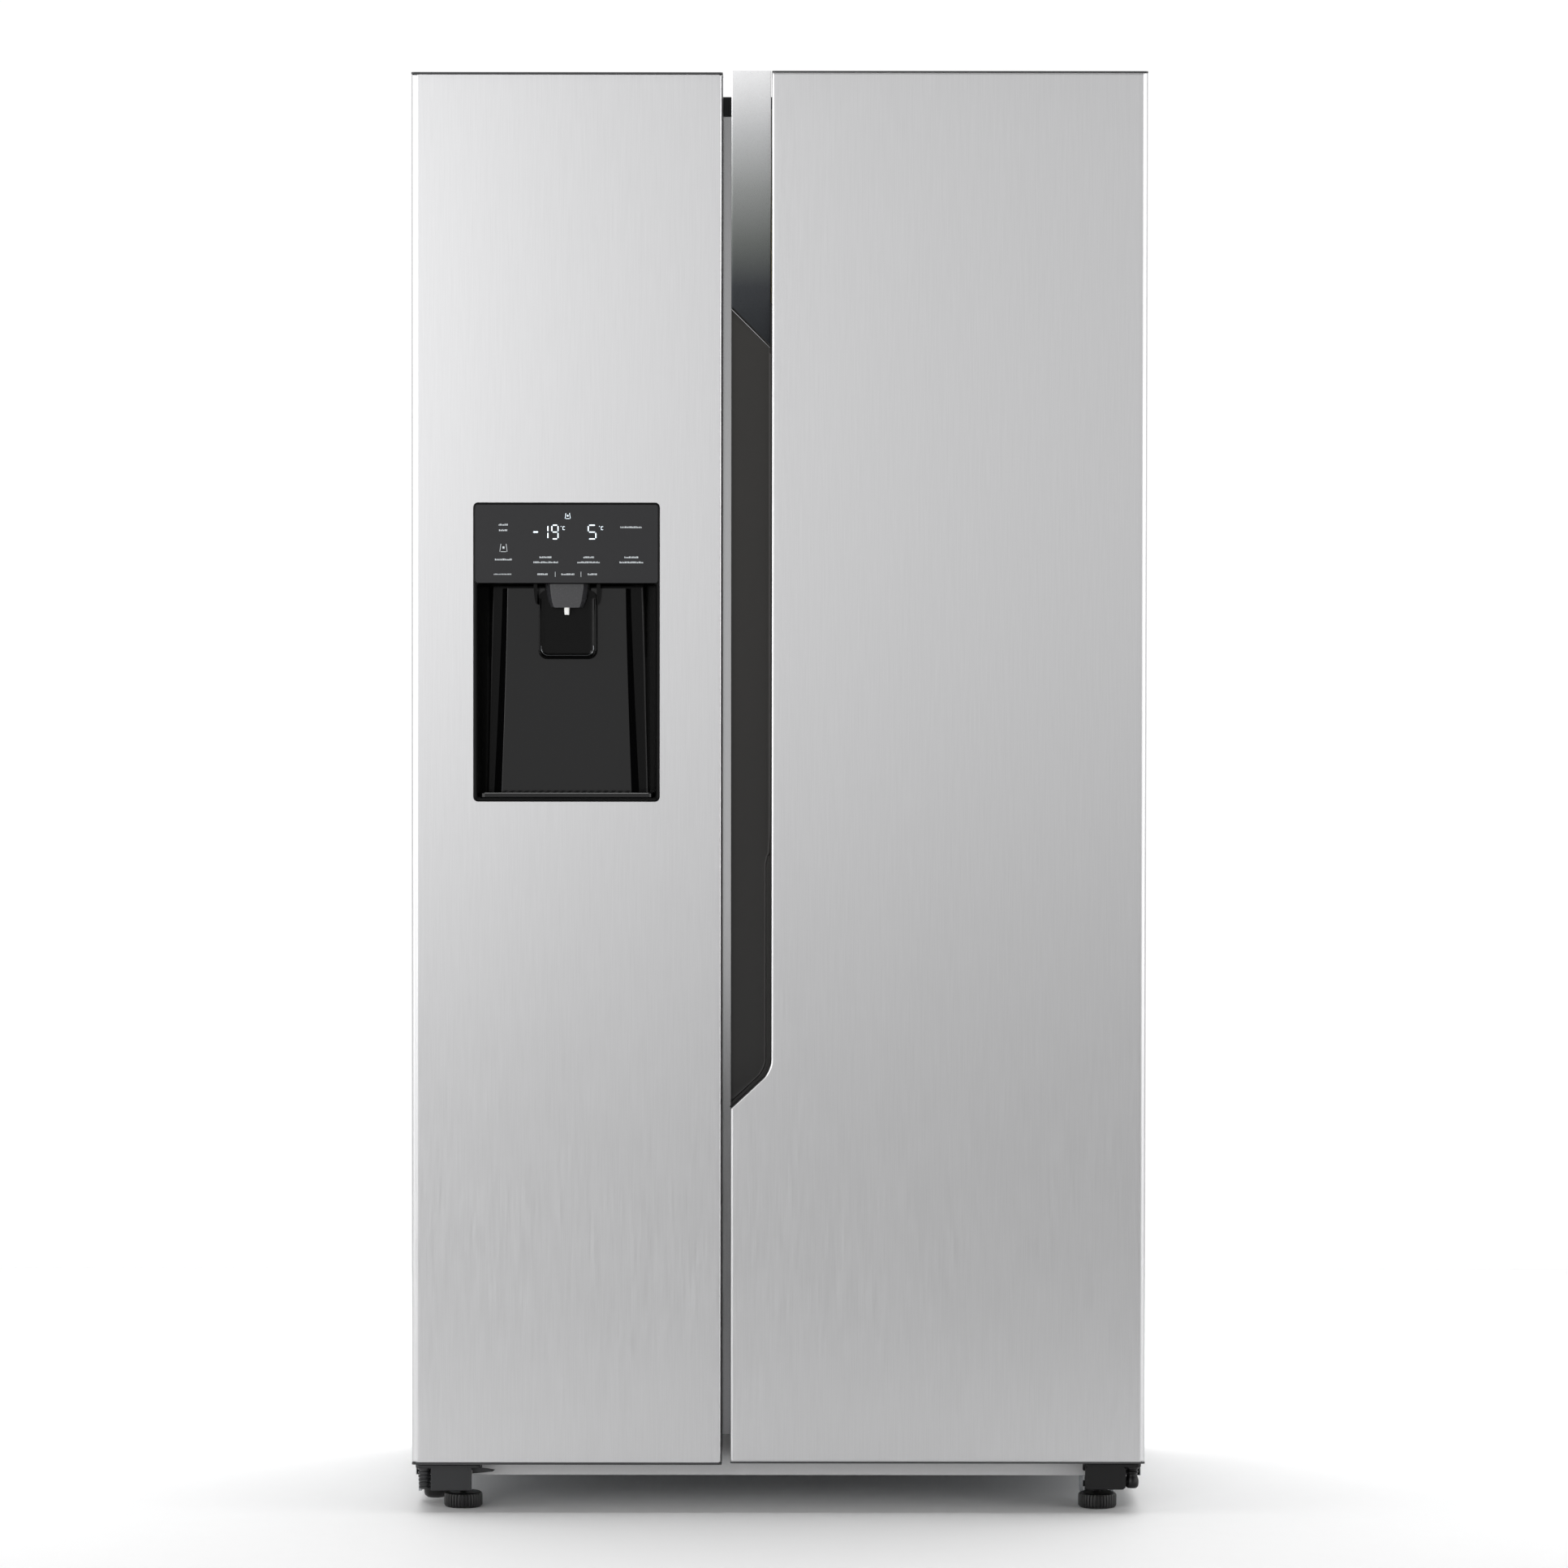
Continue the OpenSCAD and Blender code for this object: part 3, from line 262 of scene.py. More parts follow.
def finish(name, code, rough, metal=0.0, grain=1.0, tint=0.06, bump=0.05, depth=0.1, rough_swing=0.05,
           detail=3.0, ramp=None, ramp_axis="Z", **sockets):
    """A surface whose colour, roughness and relief follow one stretched noise.

    grain is the pattern's period in millimetres, one for all or along x, y and z; tint is how far the colour
    swings; depth is the relief's height in millimetres. ramp lists (place, colour) stops
    along one axis, in millimetres, that replace the plain colour.
    """
    material = bpy.data.materials.new(name)
    material.use_nodes = True
    tree = material.node_tree
    shader = tree.nodes["Principled BSDF"]
    place = add(tree, "TexCoord").outputs["Object"]
    scaled = add(tree, "Mapping", {"Vector": place,
            "Scale": tuple(1 / (g * MM) for g in np.broadcast_to(grain, 3))})
    noise = add(tree, "TexNoise", {"Vector": scaled.outputs["Vector"], "Scale": 1.0, "Detail": detail,
            "Roughness": 0.6})
    if ramp:
        zs = [z for z, _ in ramp]
        lo, hi = min(zs) * MM, max(zs) * MM
        height = add(tree, "SeparateXYZ", {"Vector": place}).outputs[ramp_axis]
        share = add(tree, "MapRange", {"Value": height, "From Min": lo, "From Max": hi}).outputs["Result"]
        band = add(tree, "ValToRGB", {"Fac": share})
        stops = band.color_ramp.elements
        while len(stops) < len(ramp):
            stops.new(0.5)
        for stop, (z, c) in zip(stops, sorted(ramp)):
            stop.position = (z * MM - lo) / (hi - lo)
            stop.color = linear(c)
    swing = add(tree, "MapRange", {"Value": noise.outputs["Fac"], "From Min": 0.3, "From Max": 0.7,
                                   "To Min": 1 - tint, "To Max": 1 + tint})
    mix = add(tree, "Mix", {"Factor": 1.0}, data_type="RGBA", blend_type="MULTIPLY")
    colour_in = [s for s in mix.inputs if s.type == "RGBA"]
    if ramp:
        tree.links.new(band.outputs["Color"], colour_in[0])
    else:
        colour_in[0].default_value = linear(code)
    tree.links.new(swing.outputs["Result"], colour_in[1])
    tree.links.new([s for s in mix.outputs if s.type == "RGBA"][0], shader.inputs["Base Color"])
    dull = add(tree, "MapRange", {"Value": noise.outputs["Fac"], "From Min": 0.3, "From Max": 0.7,
                                  "To Min": max(rough - rough_swing, 0.0), "To Max": rough + rough_swing})
    tree.links.new(dull.outputs["Result"], shader.inputs["Roughness"])
    if bump:
        relief = add(tree, "Bump", {"Height": noise.outputs["Fac"], "Strength": bump, "Distance": depth * MM})
        tree.links.new(relief.outputs["Normal"], shader.inputs["Normal"])
    shader.inputs["Metallic"].default_value = metal
    for key, value in sockets.items():
        shader.inputs[key.replace("_", " ")].default_value = value
    return material


# Brushed stainless: a vertical belt-brushed grain that stretches highlights sideways.
STEEL = finish("brushed_stainless", "#c1c1c2", 0.34, 1.0, grain=(0.9, 0.9, 60), tint=0.035, bump=0.05,
        depth=0.05,
               rough_swing=0.05, detail=4)
# Bead-blasted metallised trim; its colour ramp from bright at the top to graphite at its foot is a painted
# reflection.
TRIM_PAINTED_REFLECTION = finish("metallised_trim_painted_reflection", "#b9bbbd", 0.3, 0.85, grain=0.5, tint=0.05, bump=0.05, depth=0.03,
              ramp=[(1786, "#d6d6d7"), (1712, "#adaeaf"), (1640, "#868887"), (1575, "#626563"),
              (1520, "#3b3d40"),
                    (1446, "#2a2c2f")])
# Satin moulded ABS in a warm dark grey, for the grip channel; its colour ramp, darker towards the bottom, is
# painted shade.
CHANNEL_PAINTED_SHADE = finish("satin_abs_channel_painted_shade", "#3c3a37", 0.45, grain=0.6, tint=0.04, bump=0.06, depth=0.03,
                 ramp=[(1493, "#302e2b"), (1000, "#292725"), (502, "#222120")], Specular_IOR_Level=0.35)
# Piano-black ABS: a hard clear gloss over carbon black.
GLOSS_BLACK = finish("gloss_black_abs", "#080809", 0.09, grain=6, tint=0.04, bump=0.0, rough_swing=0.02,
                     Specular_IOR_Level=0.26)
# Smoked acrylic lens over a dark printed film.
LENS = finish("smoked_lens", "#1f1f21", 0.24, grain=4, tint=0.015, bump=0.0, rough_swing=0.02,
              Specular_IOR_Level=0.28)
# White backlit print behind the lens.
LEGEND = finish("lit_print", "#e9f1f6", 0.5, grain=2, tint=0.01, bump=0.0, Emission_Color=linear("#dcecf7"),
                Emission_Strength=0.9)
# The same print, lit less.
LEGEND_DIM = finish("grey_print", "#b9bdc0", 0.5, grain=2, tint=0.02, bump=0.0,
                    Emission_Color=linear("#aab0b4"), Emission_Strength=0.45)
# Grey semi-gloss ABS for the spout.
SPOUT = finish("grey_abs_spout", "#313133", 0.24, grain=1, tint=0.03, bump=0.02, depth=0.02)
# Satin black ABS for the recess and the paddle: a soft moulded sheen, duller than the apron.
SATIN_BLACK = finish("satin_black_abs", "#040404", 0.2, grain=3, tint=0.05, bump=0.02, depth=0.02,
                      Specular_IOR_Level=0.1)
# Painted highlight: a bright metallic bead on the paddle's lower lip that stands in for the highlight line
# there.
LIP_PAINTED_HIGHLIGHT = finish("lip_bead_painted_highlight", "#6a6c6e", 0.2, 1.0, grain=2, tint=0.03, bump=0.0, rough_swing=0.02)
# Natural nylon for the water nozzle.
WHITE_NYLON = finish("white_nylon", "#efefec", 0.4, grain=1, tint=0.02, bump=0.02, depth=0.02)
# Fine spark-eroded texture on dark grey polypropylene.
DARK_PLASTIC = finish("textured_dark_polypropylene", "#2e2f31", 0.55, grain=0.8, tint=0.08, bump=0.25,
                      depth=0.05)
# Moulded end caps of the doors, finely textured.
CAP_PLASTIC = finish("end_cap_abs", "#313233", 0.5, grain=0.8, tint=0.06, bump=0.15, depth=0.05)
# Black glass-filled nylon for feet and rollers, slightly greasy.
BLACK_NYLON = finish("black_nylon", "#101010", 0.38, grain=1.2, tint=0.12, bump=0.2, depth=0.06)
# Powder-coated steel sheet: a faint orange peel.
SIDE_PAINT = finish("powder_coated_sheet", "#8f9193", 0.42, 0.15, grain=2.2, tint=0.03, bump=0.12, depth=0.06)
# Light grey powder coat on the bottom rail.
RAIL_PAINT = finish("rail_powder_coat", "#c2c2c3", 0.4, 0.1, grain=2, tint=0.02, bump=0.08, depth=0.05)
# Semi-gloss metallic coat on the centre post; its colour ramp along the height is painted shade, lightest near
# 300 mm, darker towards the top and darkest at the foot.
MULLION_PAINTED_SHADE = finish("mullion_coat_painted_shade", "#7b7b7c", 0.13, 0.9, grain=(2, 2, 30), tint=0.03, bump=0.01,
        depth=0.03, rough_swing=0.02,
                       ramp=[(1736, "#848485"), (1300, "#969697"), (300, "#a6a6a7"), (89, "#6e6e70")])
# Hot-dip galvanised sheet with its spangle.
ZINC = finish("galvanised_sheet", "#9a9da0", 0.42, 0.9, grain=14, tint=0.1, bump=0.03, depth=0.05,
              rough_swing=0.1, detail=6)
# Dark paint on thick hinge plate.
HINGE_STEEL = finish("painted_hinge_plate", "#1d1e20", 0.4, 0.2, grain=1.5, tint=0.06, bump=0.1, depth=0.05)
# Black electrocoat on steel, low in sheen.
BLACK_STEEL = finish("black_e_coat", "#0a0a0b", 0.36, 0.0, grain=1.5, tint=0.1, bump=0.12, depth=0.06,
                     Specular_IOR_Level=0.25)
# Vacuum-formed high-impact polystyrene, soft white gloss.
LINER = finish("white_hips_liner", "#eef0f1", 0.3, grain=8, tint=0.012, bump=0.05, depth=0.08)
# Mill-finish aluminium, drawn along z.
ALUMINIUM = finish("mill_aluminium", "#c3c6c9", 0.35, 1.0, grain=(1, 1, 20), tint=0.06, bump=0.05, depth=0.05)
# Grey PVC of the magnetic door seals.
RUBBER = finish("grey_pvc_seal", "#8d8e90", 0.6, grain=(1.5, 1.5, 8), tint=0.05, bump=0.1, depth=0.05)
# Blue nylon of the water valve.
BLUE_NYLON = finish("blue_nylon", "#2f5c9c", 0.4, grain=1, tint=0.05, bump=0.05, depth=0.03)
# Bright zinc plate on screws; on the channel's rim the same bright metal is a painted highlight line.
ZINC_SCREWS_AND_RIM_HIGHLIGHT = finish("zinc_plate_and_rim_highlight", "#b4b6b9", 0.3, 1.0, grain=1, tint=0.05, bump=0.05, depth=0.03)
# Blown polyurethane, open and pale yellow.
FOAM = finish("polyurethane_foam", "#e8dfb9", 0.9, grain=3, tint=0.1, bump=0.5, depth=0.4)
# Clear moulded polystyrene, slightly blue where it is thick.
CLEAR = finish("clear_polystyrene", "#e4eff4", 0.06, grain=30, tint=0.01, bump=0.0, rough_swing=0.01,
               Transmission_Weight=0.82, IOR=1.5, Alpha=0.62)
# Toughened shelf glass, faintly green.
GLASS = finish("toughened_glass", "#dfeee9", 0.03, grain=30, tint=0.01, bump=0.0, rough_swing=0.01,
               Transmission_Weight=0.9, IOR=1.5, Alpha=0.5)
# Opal diffuser over white lamps.
LAMP = finish("led_diffuser", "#f8fbff", 0.4, grain=5, tint=0.01, bump=0.0, Emission_Color=linear("#f4f9ff"),
              Emission_Strength=1.2)


# ---------------------------------------------------------------- doors

# Front face and inner side of the doors; top of the doors; the strip's left edge and its lower tip.
FACE = -321.5
BACK = -263.5
TOP = 1786.0
STRIP_LEFT = -59.7
TIP = 503.0
FZ_LO, FZ_HI = span("freezer_door_skin")
FR_LO, FR_HI = span("fridge_door_skin")
DISP_LO, DISP_HI = span("dispenser_housing")


def freezer_face():
    """Door skin with a dispenser window: rounded edges rolled from the sides, and the face
    drawn from the outer rectangle to the window as straight lines between two loops."""
    x0, x1, z0, z1 = FZ_LO[0], FZ_HI[0], FZ_LO[2], FZ_HI[2]
    window = (DISP_LO[0] - 0.3, DISP_HI[0] + 0.3, DISP_LO[2] - 0.3, DISP_HI[2] + 0.3)
    rows = []

    def outer(left, right, end, y):
        rows.append(stand_up(rect_loop(x0 + left, x1 - right, z0 + end, z1 - end, 2.2, 8), y, "y"))

    outer(1.0, 1.0, 1.0, BACK)
    outer(0, 0, 0, BACK)
    outer(0, 0, 0, FACE + 10)
    for inset, rise in rim(8.0, 10)[::-1]:
        outer(inset, inset * 0.4, inset * 0.15, FACE + rise)
    edge = rows[-1]
    opening = stand_up(rect_loop(*window, 6.0, 8), FACE, "y")
    for s in (0.02, 0.5, 0.985):
        rows.append(edge + (opening - edge) * s)
    roll = stand_up(rect_loop(*window, 6.0, 8), FACE + 0.4, "y")
    rows += [opening, roll, stand_up(rect_loop(*window, 6.0, 8), FACE + 1.0, "y")]
    inner = stand_up(rect_loop(x0 + 5, x1 - 5, z0 + 3, z1 - 3, 2.2, 8), FACE + 1.0, "y")
    rows.append(inner)
    rows.append(stand_up(rect_loop(x0 + 1.0, x1 - 1.0, z0 + 1.0, z1 - 1.0, 2.0, 8), FACE + 5.0, "y"))
    return skin(np.array(rows), wrap_u=True)


def grip_edge(z):
    """Right boundary of the handle strip at height z: the handle's edge, a bend of about 22 mm
    that turns it inwards as a power of a sine, and a straight slope down to the tip."""
    edge, low = -9.5, 563.3
    knee_x, knee_z = -18.3, 541.5
    slope = (knee_x - STRIP_LEFT) / (knee_z - TIP)
    t = np.clip((z - knee_z) / (low - knee_z), 0, 1)
    arc = knee_x + (edge - knee_x) * np.sin(t * np.pi / 2) ** 0.9
    line = STRIP_LEFT + (z - TIP) * slope
    return np.where(z > knee_z, arc, np.maximum(line, STRIP_LEFT))


def height_steps(marks, gap=60.0):
    """Heights through all marks, filled in evenly so that no step is longer than gap."""
    out = []
    for a, b in zip(marks[:-1], marks[1:]):
        n = max(1, int(math.ceil((b - a) / gap)))
        out += list(np.linspace(a, b, n, endpoint=False))
    return np.array(out + [marks[-1]])


def fridge_face():
    """Door skin beside the grip channel: across each height the sheet runs from its rear
    edge, round the left rim, over the face and round the right rim; the left rim follows
    the handle's boundary and its return is shallow beside the channel."""
    z0, z1, x1 = FR_LO[2], FR_HI[2], FR_HI[0]
    turn = list(np.linspace(512, 566, 28))
    z = height_steps([z0, z0 + 0.6, z0 + 3, 495, 502.9, 503.1, 507] + turn + [600, z1 - 3, z1 - 0.6, z1], 80)
    left = grip_edge(z)
    end = np.minimum(z - z0, z1 - z)
    inset = np.maximum(0, 1.0 - end / 1.2) * 0.6
    deep = np.where(z < TIP, BACK, FACE + 8.0)
    small, large = np.where(z < TIP, 3.2, 2.6), 8.0
    cols = [column(left + 1.0, deep, z), column(left, deep, z)]
    a = np.linspace(0, np.pi / 2, 9)
    for t in a:
        cols.append(column(left + small * (1 - math.cos(t)), FACE + small * (1 - math.sin(t)) + inset, z))
    start, stop = left + small, x1 - large
    for s in (0.01, 0.3, 0.7, 0.99):
        cols.append(column(start + (stop - start) * s, FACE + inset, z))
    for t in a[::-1]:
        cols.append(column(x1 - large * (1 - math.cos(t)), FACE + large * (1 - math.sin(t)) + inset, z))
    cols += [column(x1, BACK, z), column(x1 - 1.0, BACK, z), column(x1 - 1.0, FACE + 5.0, z)]
    cols += [column(x1 - 5.0, FACE + 1.0, z), column(left + small + 1, FACE + 1.0, z)]
    cols.append(column(left + 1.0, FACE + small + 1, z))
    return upright(cols)


def cut_pocket(obj, side, top):
    """Takes the hinge pocket out of a door skin's upper corner with one boolean."""
    xs = (424.0, 461.0) if side > 0 else (-461.0, -424.0)
    box = slab(xs, (-309.0, BACK + 8), (top - 22, top + 8), 0.3, 0.2)
    mesh = bpy.data.meshes.new("pocket_tool")
    mesh.from_pydata((box[0] * MM).tolist(), [], box[1])
    tool = linked("pocket_tool", mesh)
    cut = obj.modifiers.new("pocket", "BOOLEAN")
    cut.object = tool
    cut.solver = "EXACT"
    bpy.context.view_layer.objects.active = obj
    with bpy.context.temp_override(object=obj, active_object=obj):
        bpy.ops.object.modifier_move_to_index(modifier="pocket", index=0)
        bpy.ops.object.modifier_apply(modifier="pocket")
    bpy.data.objects.remove(tool)


freezer_skin = piece("freezer_door_face", [freezer_face()], STEEL, "freezer_door_skin")
fridge_skin = piece("fridge_door_face", [fridge_face()], STEEL, "fridge_door_skin")
cut_pocket(freezer_skin, -1, 1784)
cut_pocket(fridge_skin, 1, 1786)


def ramp_y(z):
    """Depth of the trim's face: flush at the top, easing back as a power of the fall."""
    return FACE + 0.2 + 32.3 * ((TOP - z) / 346.0) ** 1.15


def trim():
    """Sheet on the ramp: over heights, across from the wrapped left edge to the right wall;
    its lower end follows the slope of the channel's upper end."""
    s = np.linspace(0, 1, 48)
    x = np.array([STRIP_LEFT, STRIP_LEFT, -59.3, -58.2, -40, -25, -12.2, -10.9, -10.6, -10.6])
    lift = np.array([8.0, 0.9, 0.25, 0, 0, 0, 0, 0.2, 0.8, 1.8])
    foot = 1497.4 - (x - STRIP_LEFT) / 47.7 * 47.3
    z = foot[None, :] + (TOP - foot[None, :]) * s[:, None]
    y = ramp_y(z)
    front = y + lift[None, :]
    front[:, 0] = np.minimum(front[:, 0], BACK)
    top = np.stack([np.broadcast_to(x, z.shape), front, z], 2)
    under = top.copy()
    under[:, :, 1] += 1.6
    under[:, :2, 0] += 1.4
    under[:, -1, 0] -= 0.8
    return skin(np.concatenate([top, under[:, ::-1]], 1))


def channel_rim_painted_highlight():
    """Slim bright edge along the channel's sloping upper end, a groove's width below the trim: a painted
    highlight line.
    """
    t = np.linspace(0, 1, 12)
    x, z = -59.3 + 47.6 * t, 1493.0 - 47.2 * t
    y = ramp_y(z) + 0.6
    return upright([column(x, y + dy, z + dz) for dy, dz in ((0, 0), (0, 0.75), (5, 0.75), (5, 0))])


def side_fill():
    """Left wall and top of the trim: a thin web from the ramp back to the inner panel."""
    s = np.linspace(0, 1, 40)
    z = 1494.6 + 291.2 * s
    near = ramp_y(z) + 1.0
    return skin(np.array([np.concatenate([column(x, near, z), column(x, BACK, z)[::-1]]) for x in (-59.65,
            -58.2)]))


# The trim's material carries a painted reflection, bright at the top and graphite at its foot.
piece("handle_trim_face", [trim(), side_fill(), slab((-59.6, -10.8), (-320.5, BACK), (1783.2, 1785.8), 1.0,
        0.5)],
      TRIM_PAINTED_REFLECTION, "handle_trim")


def grip_channel():
    """Grip channel: over heights, the section runs from the open left side across the floor,
    into the finger undercut behind the door's edge, back over the lip and out to the face.
    The undercut fades out near both ends, and the finger lip rises over the lower part."""
    floor, mouth = FACE + 36.0, FACE + 12.0
    z = height_steps([503.2, 506] + list(np.linspace(510, 566, 29)) + [572, 582, 600,
            790] + list(np.linspace(806, 818, 7))
                     + [840, 1380, 1412, 1424, 1440, 1500], 60)
    edge = grip_edge(z) - 1.3
    fade = np.clip((z - 572) / 12, 0, 1) * np.clip((1438 - z) / 14, 0, 1)
    under = 21.5 * fade
    lip = np.clip((818.0 - z) / 12.0, 0, 1)
    band = 5.2 * (0.45 * np.clip((818.5 - z) / 1.0, 0, 1) + 0.55 * lip)
    rise = 13.0 * np.clip((819.0 - z) / 3.0, 0, 1)
    left = np.full_like(z, -59.6)
    inner = np.maximum(edge - band, left + 0.02)
    edge = np.maximum(edge, left + 0.05)

    def col(x, y):
        return column(x, y, z)

    cols = [col(left, floor + 1.9), col(left, floor + 0.3), col(left + 0.3, floor)]
    cols += [col(np.maximum(inner - 3.0, left + 0.3), floor), col(np.maximum(inner - 0.6, left + 0.31),
            floor - 0.6)]
    cols += [col(inner, floor - np.maximum(rise - 0.8, 1.0)), col(inner + 0.5 * np.minimum(1, band),
            floor - np.maximum(rise, 1.2))]
    cols += [col(edge + under - 1.5, floor - np.maximum(rise, 1.4)),
            col(edge + under, floor - np.maximum(rise, 3.0))]
    cols += [col(edge + under, mouth + 1.5), col(edge + np.maximum(under - 1.5, 0), mouth),
            col(edge + np.minimum(under, 1.0), mouth)]
    cols += [col(edge, mouth - 1.0), col(edge, FACE + 1.4), col(edge + 0.3, FACE + 1.0),
            col(edge + 0.9, FACE + 1.1)]
    cols += [col(edge + 0.9, mouth - 3.0), col(edge + under + 2.0, mouth - 3.0),
            col(edge + under + 2.0, floor + 1.9)]
    return upright(cols)


channel_side = slab((-59.65, -58.35), (FACE + 36.5, BACK - 0.1), (503.4, 1495.5), 0.3, 0.1, "y")
# The channel's material carries painted shade, darker towards the bottom.
piece("grip_channel", [grip_channel(), channel_side], CHANNEL_PAINTED_SHADE, "handle_recess", sharp=40)
# Painted highlight: the bright strip along the channel's upper end.
piece("channel_rim_painted_highlight", [channel_rim_painted_highlight()], ZINC_SCREWS_AND_RIM_HIGHLIGHT, "handle_recess", extra=True)


def door_panel(name, node, x, z, rim_x, rim_z, more=(), window=None):
    """Inner door panel: a sheet with a softly rounded hollow rim that the bins sit in. With a
    window, the sheet is a ring round it, joined to the ice chute's hollow box."""
    y0 = BACK
    soft = rim(5, 5)
    profile = [(0, y0 + 1.9)] + [(i, y0 + 22 - h) for i, h in soft[::-1]]
    profile += [(12 - i, y0 + 22 - h) for i, h in soft] + [(12, y0 + 1.9)]
    shapes = [rings((*rim_x, *rim_z), profile, 12, "y", 6, close=True), *more]
    if window:
        sheet = [stand_up(rect_loop(*rect, 3, 5), y, "y") for rect, y in
                 (((*x, *z), y0), ((*x, *z), y0 + 2), (window, y0 + 2), (window, y0))]
        shapes.append(skin(np.array(sheet), wrap_u=True))
        shell = [(30, -236)] + [(i, -236 - h) for i, h in rim(6, 5)] + [(0, y0 + 1), (2, y0), (2, -238),
                (8, -238)]
        shapes.append(rings(window, shell, 10, "y"))
    else:
        shapes.append(slab(x, (y0, y0 + 2), z, 3, 0.6, "y"))
    return piece(name, shapes, LINER, node)


CHUTE = (DISP_LO[0] - 6, DISP_HI[0] + 6, DISP_LO[2] - 8, 1290.0)
tray_ears = [slab(x, (BACK + 1, -192), (1563, 1587), 5, 0.8, "x") for x in ((-374, -366), (-152, -144))]
FZ_BINS = (545, 710)
FR_BINS = (545, 800, 1060, 1380)
bin_hooks = []
for zs, xs in ((FZ_BINS, (-383.0, -129.6)), (FR_BINS, (-14.4, 388.4))):
    bin_hooks.append([slab((x - 1.8, x + 1.8), (-258, -246), (z + 40, z + 56), 1.5,
            0.6) for z in zs for x in xs])
door_panel("freezer_inner_panel", "freezer_door_liner", (-453.8, -71.5), (82.5, 1739.5), (-396, -103),
        (520, 1668),
           [*tray_ears, *bin_hooks[0]], CHUTE)
door_panel("fridge_inner_panel", "fridge_door_liner", (-58.5, 453.8), (84.5, 1741.5), (-27, 401),
        (520, 1668), bin_hooks[1])


def seal(name, node):
    """Magnetic door seal: a bellows section carried round the door, with two soft bulges."""
    lo, hi = span(node)
    y0, y1 = lo[1], hi[1]
    t = np.linspace(0, 1, 15)
    out = [(0.4 + 2.0 * math.sin(2 * math.pi * s) ** 2, y0 + (y1 - y0) * s) for s in t]
    back = [(14.6 - 2.4 * math.sin(2 * math.pi * s) ** 2, y0 + (y1 - y0) * s) for s in t[::-1]]
    return piece(name, [rings((lo[0], hi[0], lo[2], hi[2]), out + back, 3, "y", 3, close=True)], RUBBER, node)


seal("freezer_door_seal", "freezer_door_gasket")
seal("fridge_door_seal", "fridge_door_gasket")


# ---------------------------------------------------------------- dispenser

DX = (DISP_LO[0] + DISP_HI[0]) / 2
DEEP_X = DX - 2.0
PANEL_LO, PANEL_HI = span("control_panel")
CEILING = PANEL_LO[2] - 0.3
DEEP = -258.0


def recess_cup():
    """Dispenser recess: a cup with a rolled front, walls that lean in towards the back, more
    at the top than at the bottom, and a rounded join to the rear wall."""
    rect = (DISP_LO[0] + 4, DISP_HI[0] - 4, DISP_LO[2] + 4.7, CEILING)
    profile = [(-2.6, DEEP + 2.8), (-2.6, FACE + 2.2), (-0.4, FACE + 1.4), (0.0, FACE + 1.6),
            (0.5, FACE + 2.4)]
    profile += [((0.5 + 9 * t, 0.5 + 9 * t, 0.5 + 1.5 * t, 0.5),
            FACE + 3 + (DEEP - FACE - 8) * t) for t in np.linspace(0.03, 1, 6)]
    profile += [((9.5 + i, 9.5 + i, 2 + i, 0.5 + i), DEEP - 5 + 5 * s) for i,
            s in ((0.6, 0.5), (2.4, 0.88), (5.0, 1.0))]
    v, f = rings(rect, profile, 5, "y", 6)
    rise = np.clip((v[:, 2] - rect[2]) / (rect[3] - rect[2]), 0, 1)
    depth = np.clip((v[:, 1] - FACE - 3) / (DEEP - FACE - 3), 0, 1)
    inside = np.abs(v[:, 0] - DX) < (rect[1] - rect[0]) / 2 + 0.1
    v[:, 0] -= np.sign(v[:, 0] - DX) * 6.0 * rise * depth * inside
    return v, f


def tongue():
    """Raised rear apron: over heights, a flat centre between two bevels that flare downwards."""
    z = np.linspace(CEILING - 6, DISP_LO[2] + 6.5, 24)
    s = (CEILING - 6 - z) / (CEILING - DISP_LO[2] - 12)
    face = 73.9 + 7.6 * s ** 1.3
    out = 79.8 + 10.8 * s ** 1.2
    half = [(face - 1, DEEP - 6.3), (face, DEEP - 6.1), (face + 0.6, DEEP - 5.6), (out - 0.6, DEEP - 1.3),
            (out, DEEP - 0.6), (out, DEEP + 1)]
    left = [(-x, y) for x, y in half[::-1]]
    return upright([column(DEEP_X + x, y, z) for x, y in left + half])


def bezel():
    """Thin glossy frame round the whole dispenser, flush with the door."""
    rect = (DISP_LO[0], DISP_HI[0], DISP_LO[2], DISP_HI[2])
    profile = [(0, FACE + 3), (0, FACE + 0.7), (0.25, FACE + 0.2), (0.8, FACE + 0.02), (1.6, FACE + 0.05),
            (2.1, FACE + 0.5), (2.3, FACE + 3)]
    return rings(rect, profile, 5.7, "y", 8, close=True)


def ledge_frame():
    """Recess rim between bezel and cup: a ring stepped back from the bezel."""
    rect = (DISP_LO[0] + 2.1, DISP_HI[0] - 2.1, DISP_LO[2] + 2.1, CEILING + 2)
    return rings(rect, [(0, FACE + 3), (0, FACE + 0.9), (0.4, FACE + 0.6), (1.8, FACE + 0.6),
            (2.6, FACE + 1.6), (2.8, FACE + 4)], 4, "y", 6, close=True)


def collar(side):
    """Curved cheek beside the spout: it narrows downwards in a quarter curve."""
    t = np.linspace(0, np.pi / 2, 10)
    z = CEILING + 1 - 27 * np.sin(t)
    wide = 37.2 + 4.2 * np.cos(t)
    ring_a = np.stack([wide, z], 1)
    ring_b = np.stack([np.full(10, 36.8), z], 1)[::-1]
    flat = np.concatenate([ring_a, ring_b])
    flat[:, 0] = DX + side * flat[:, 0]
    return prism(flat, -306, -268)


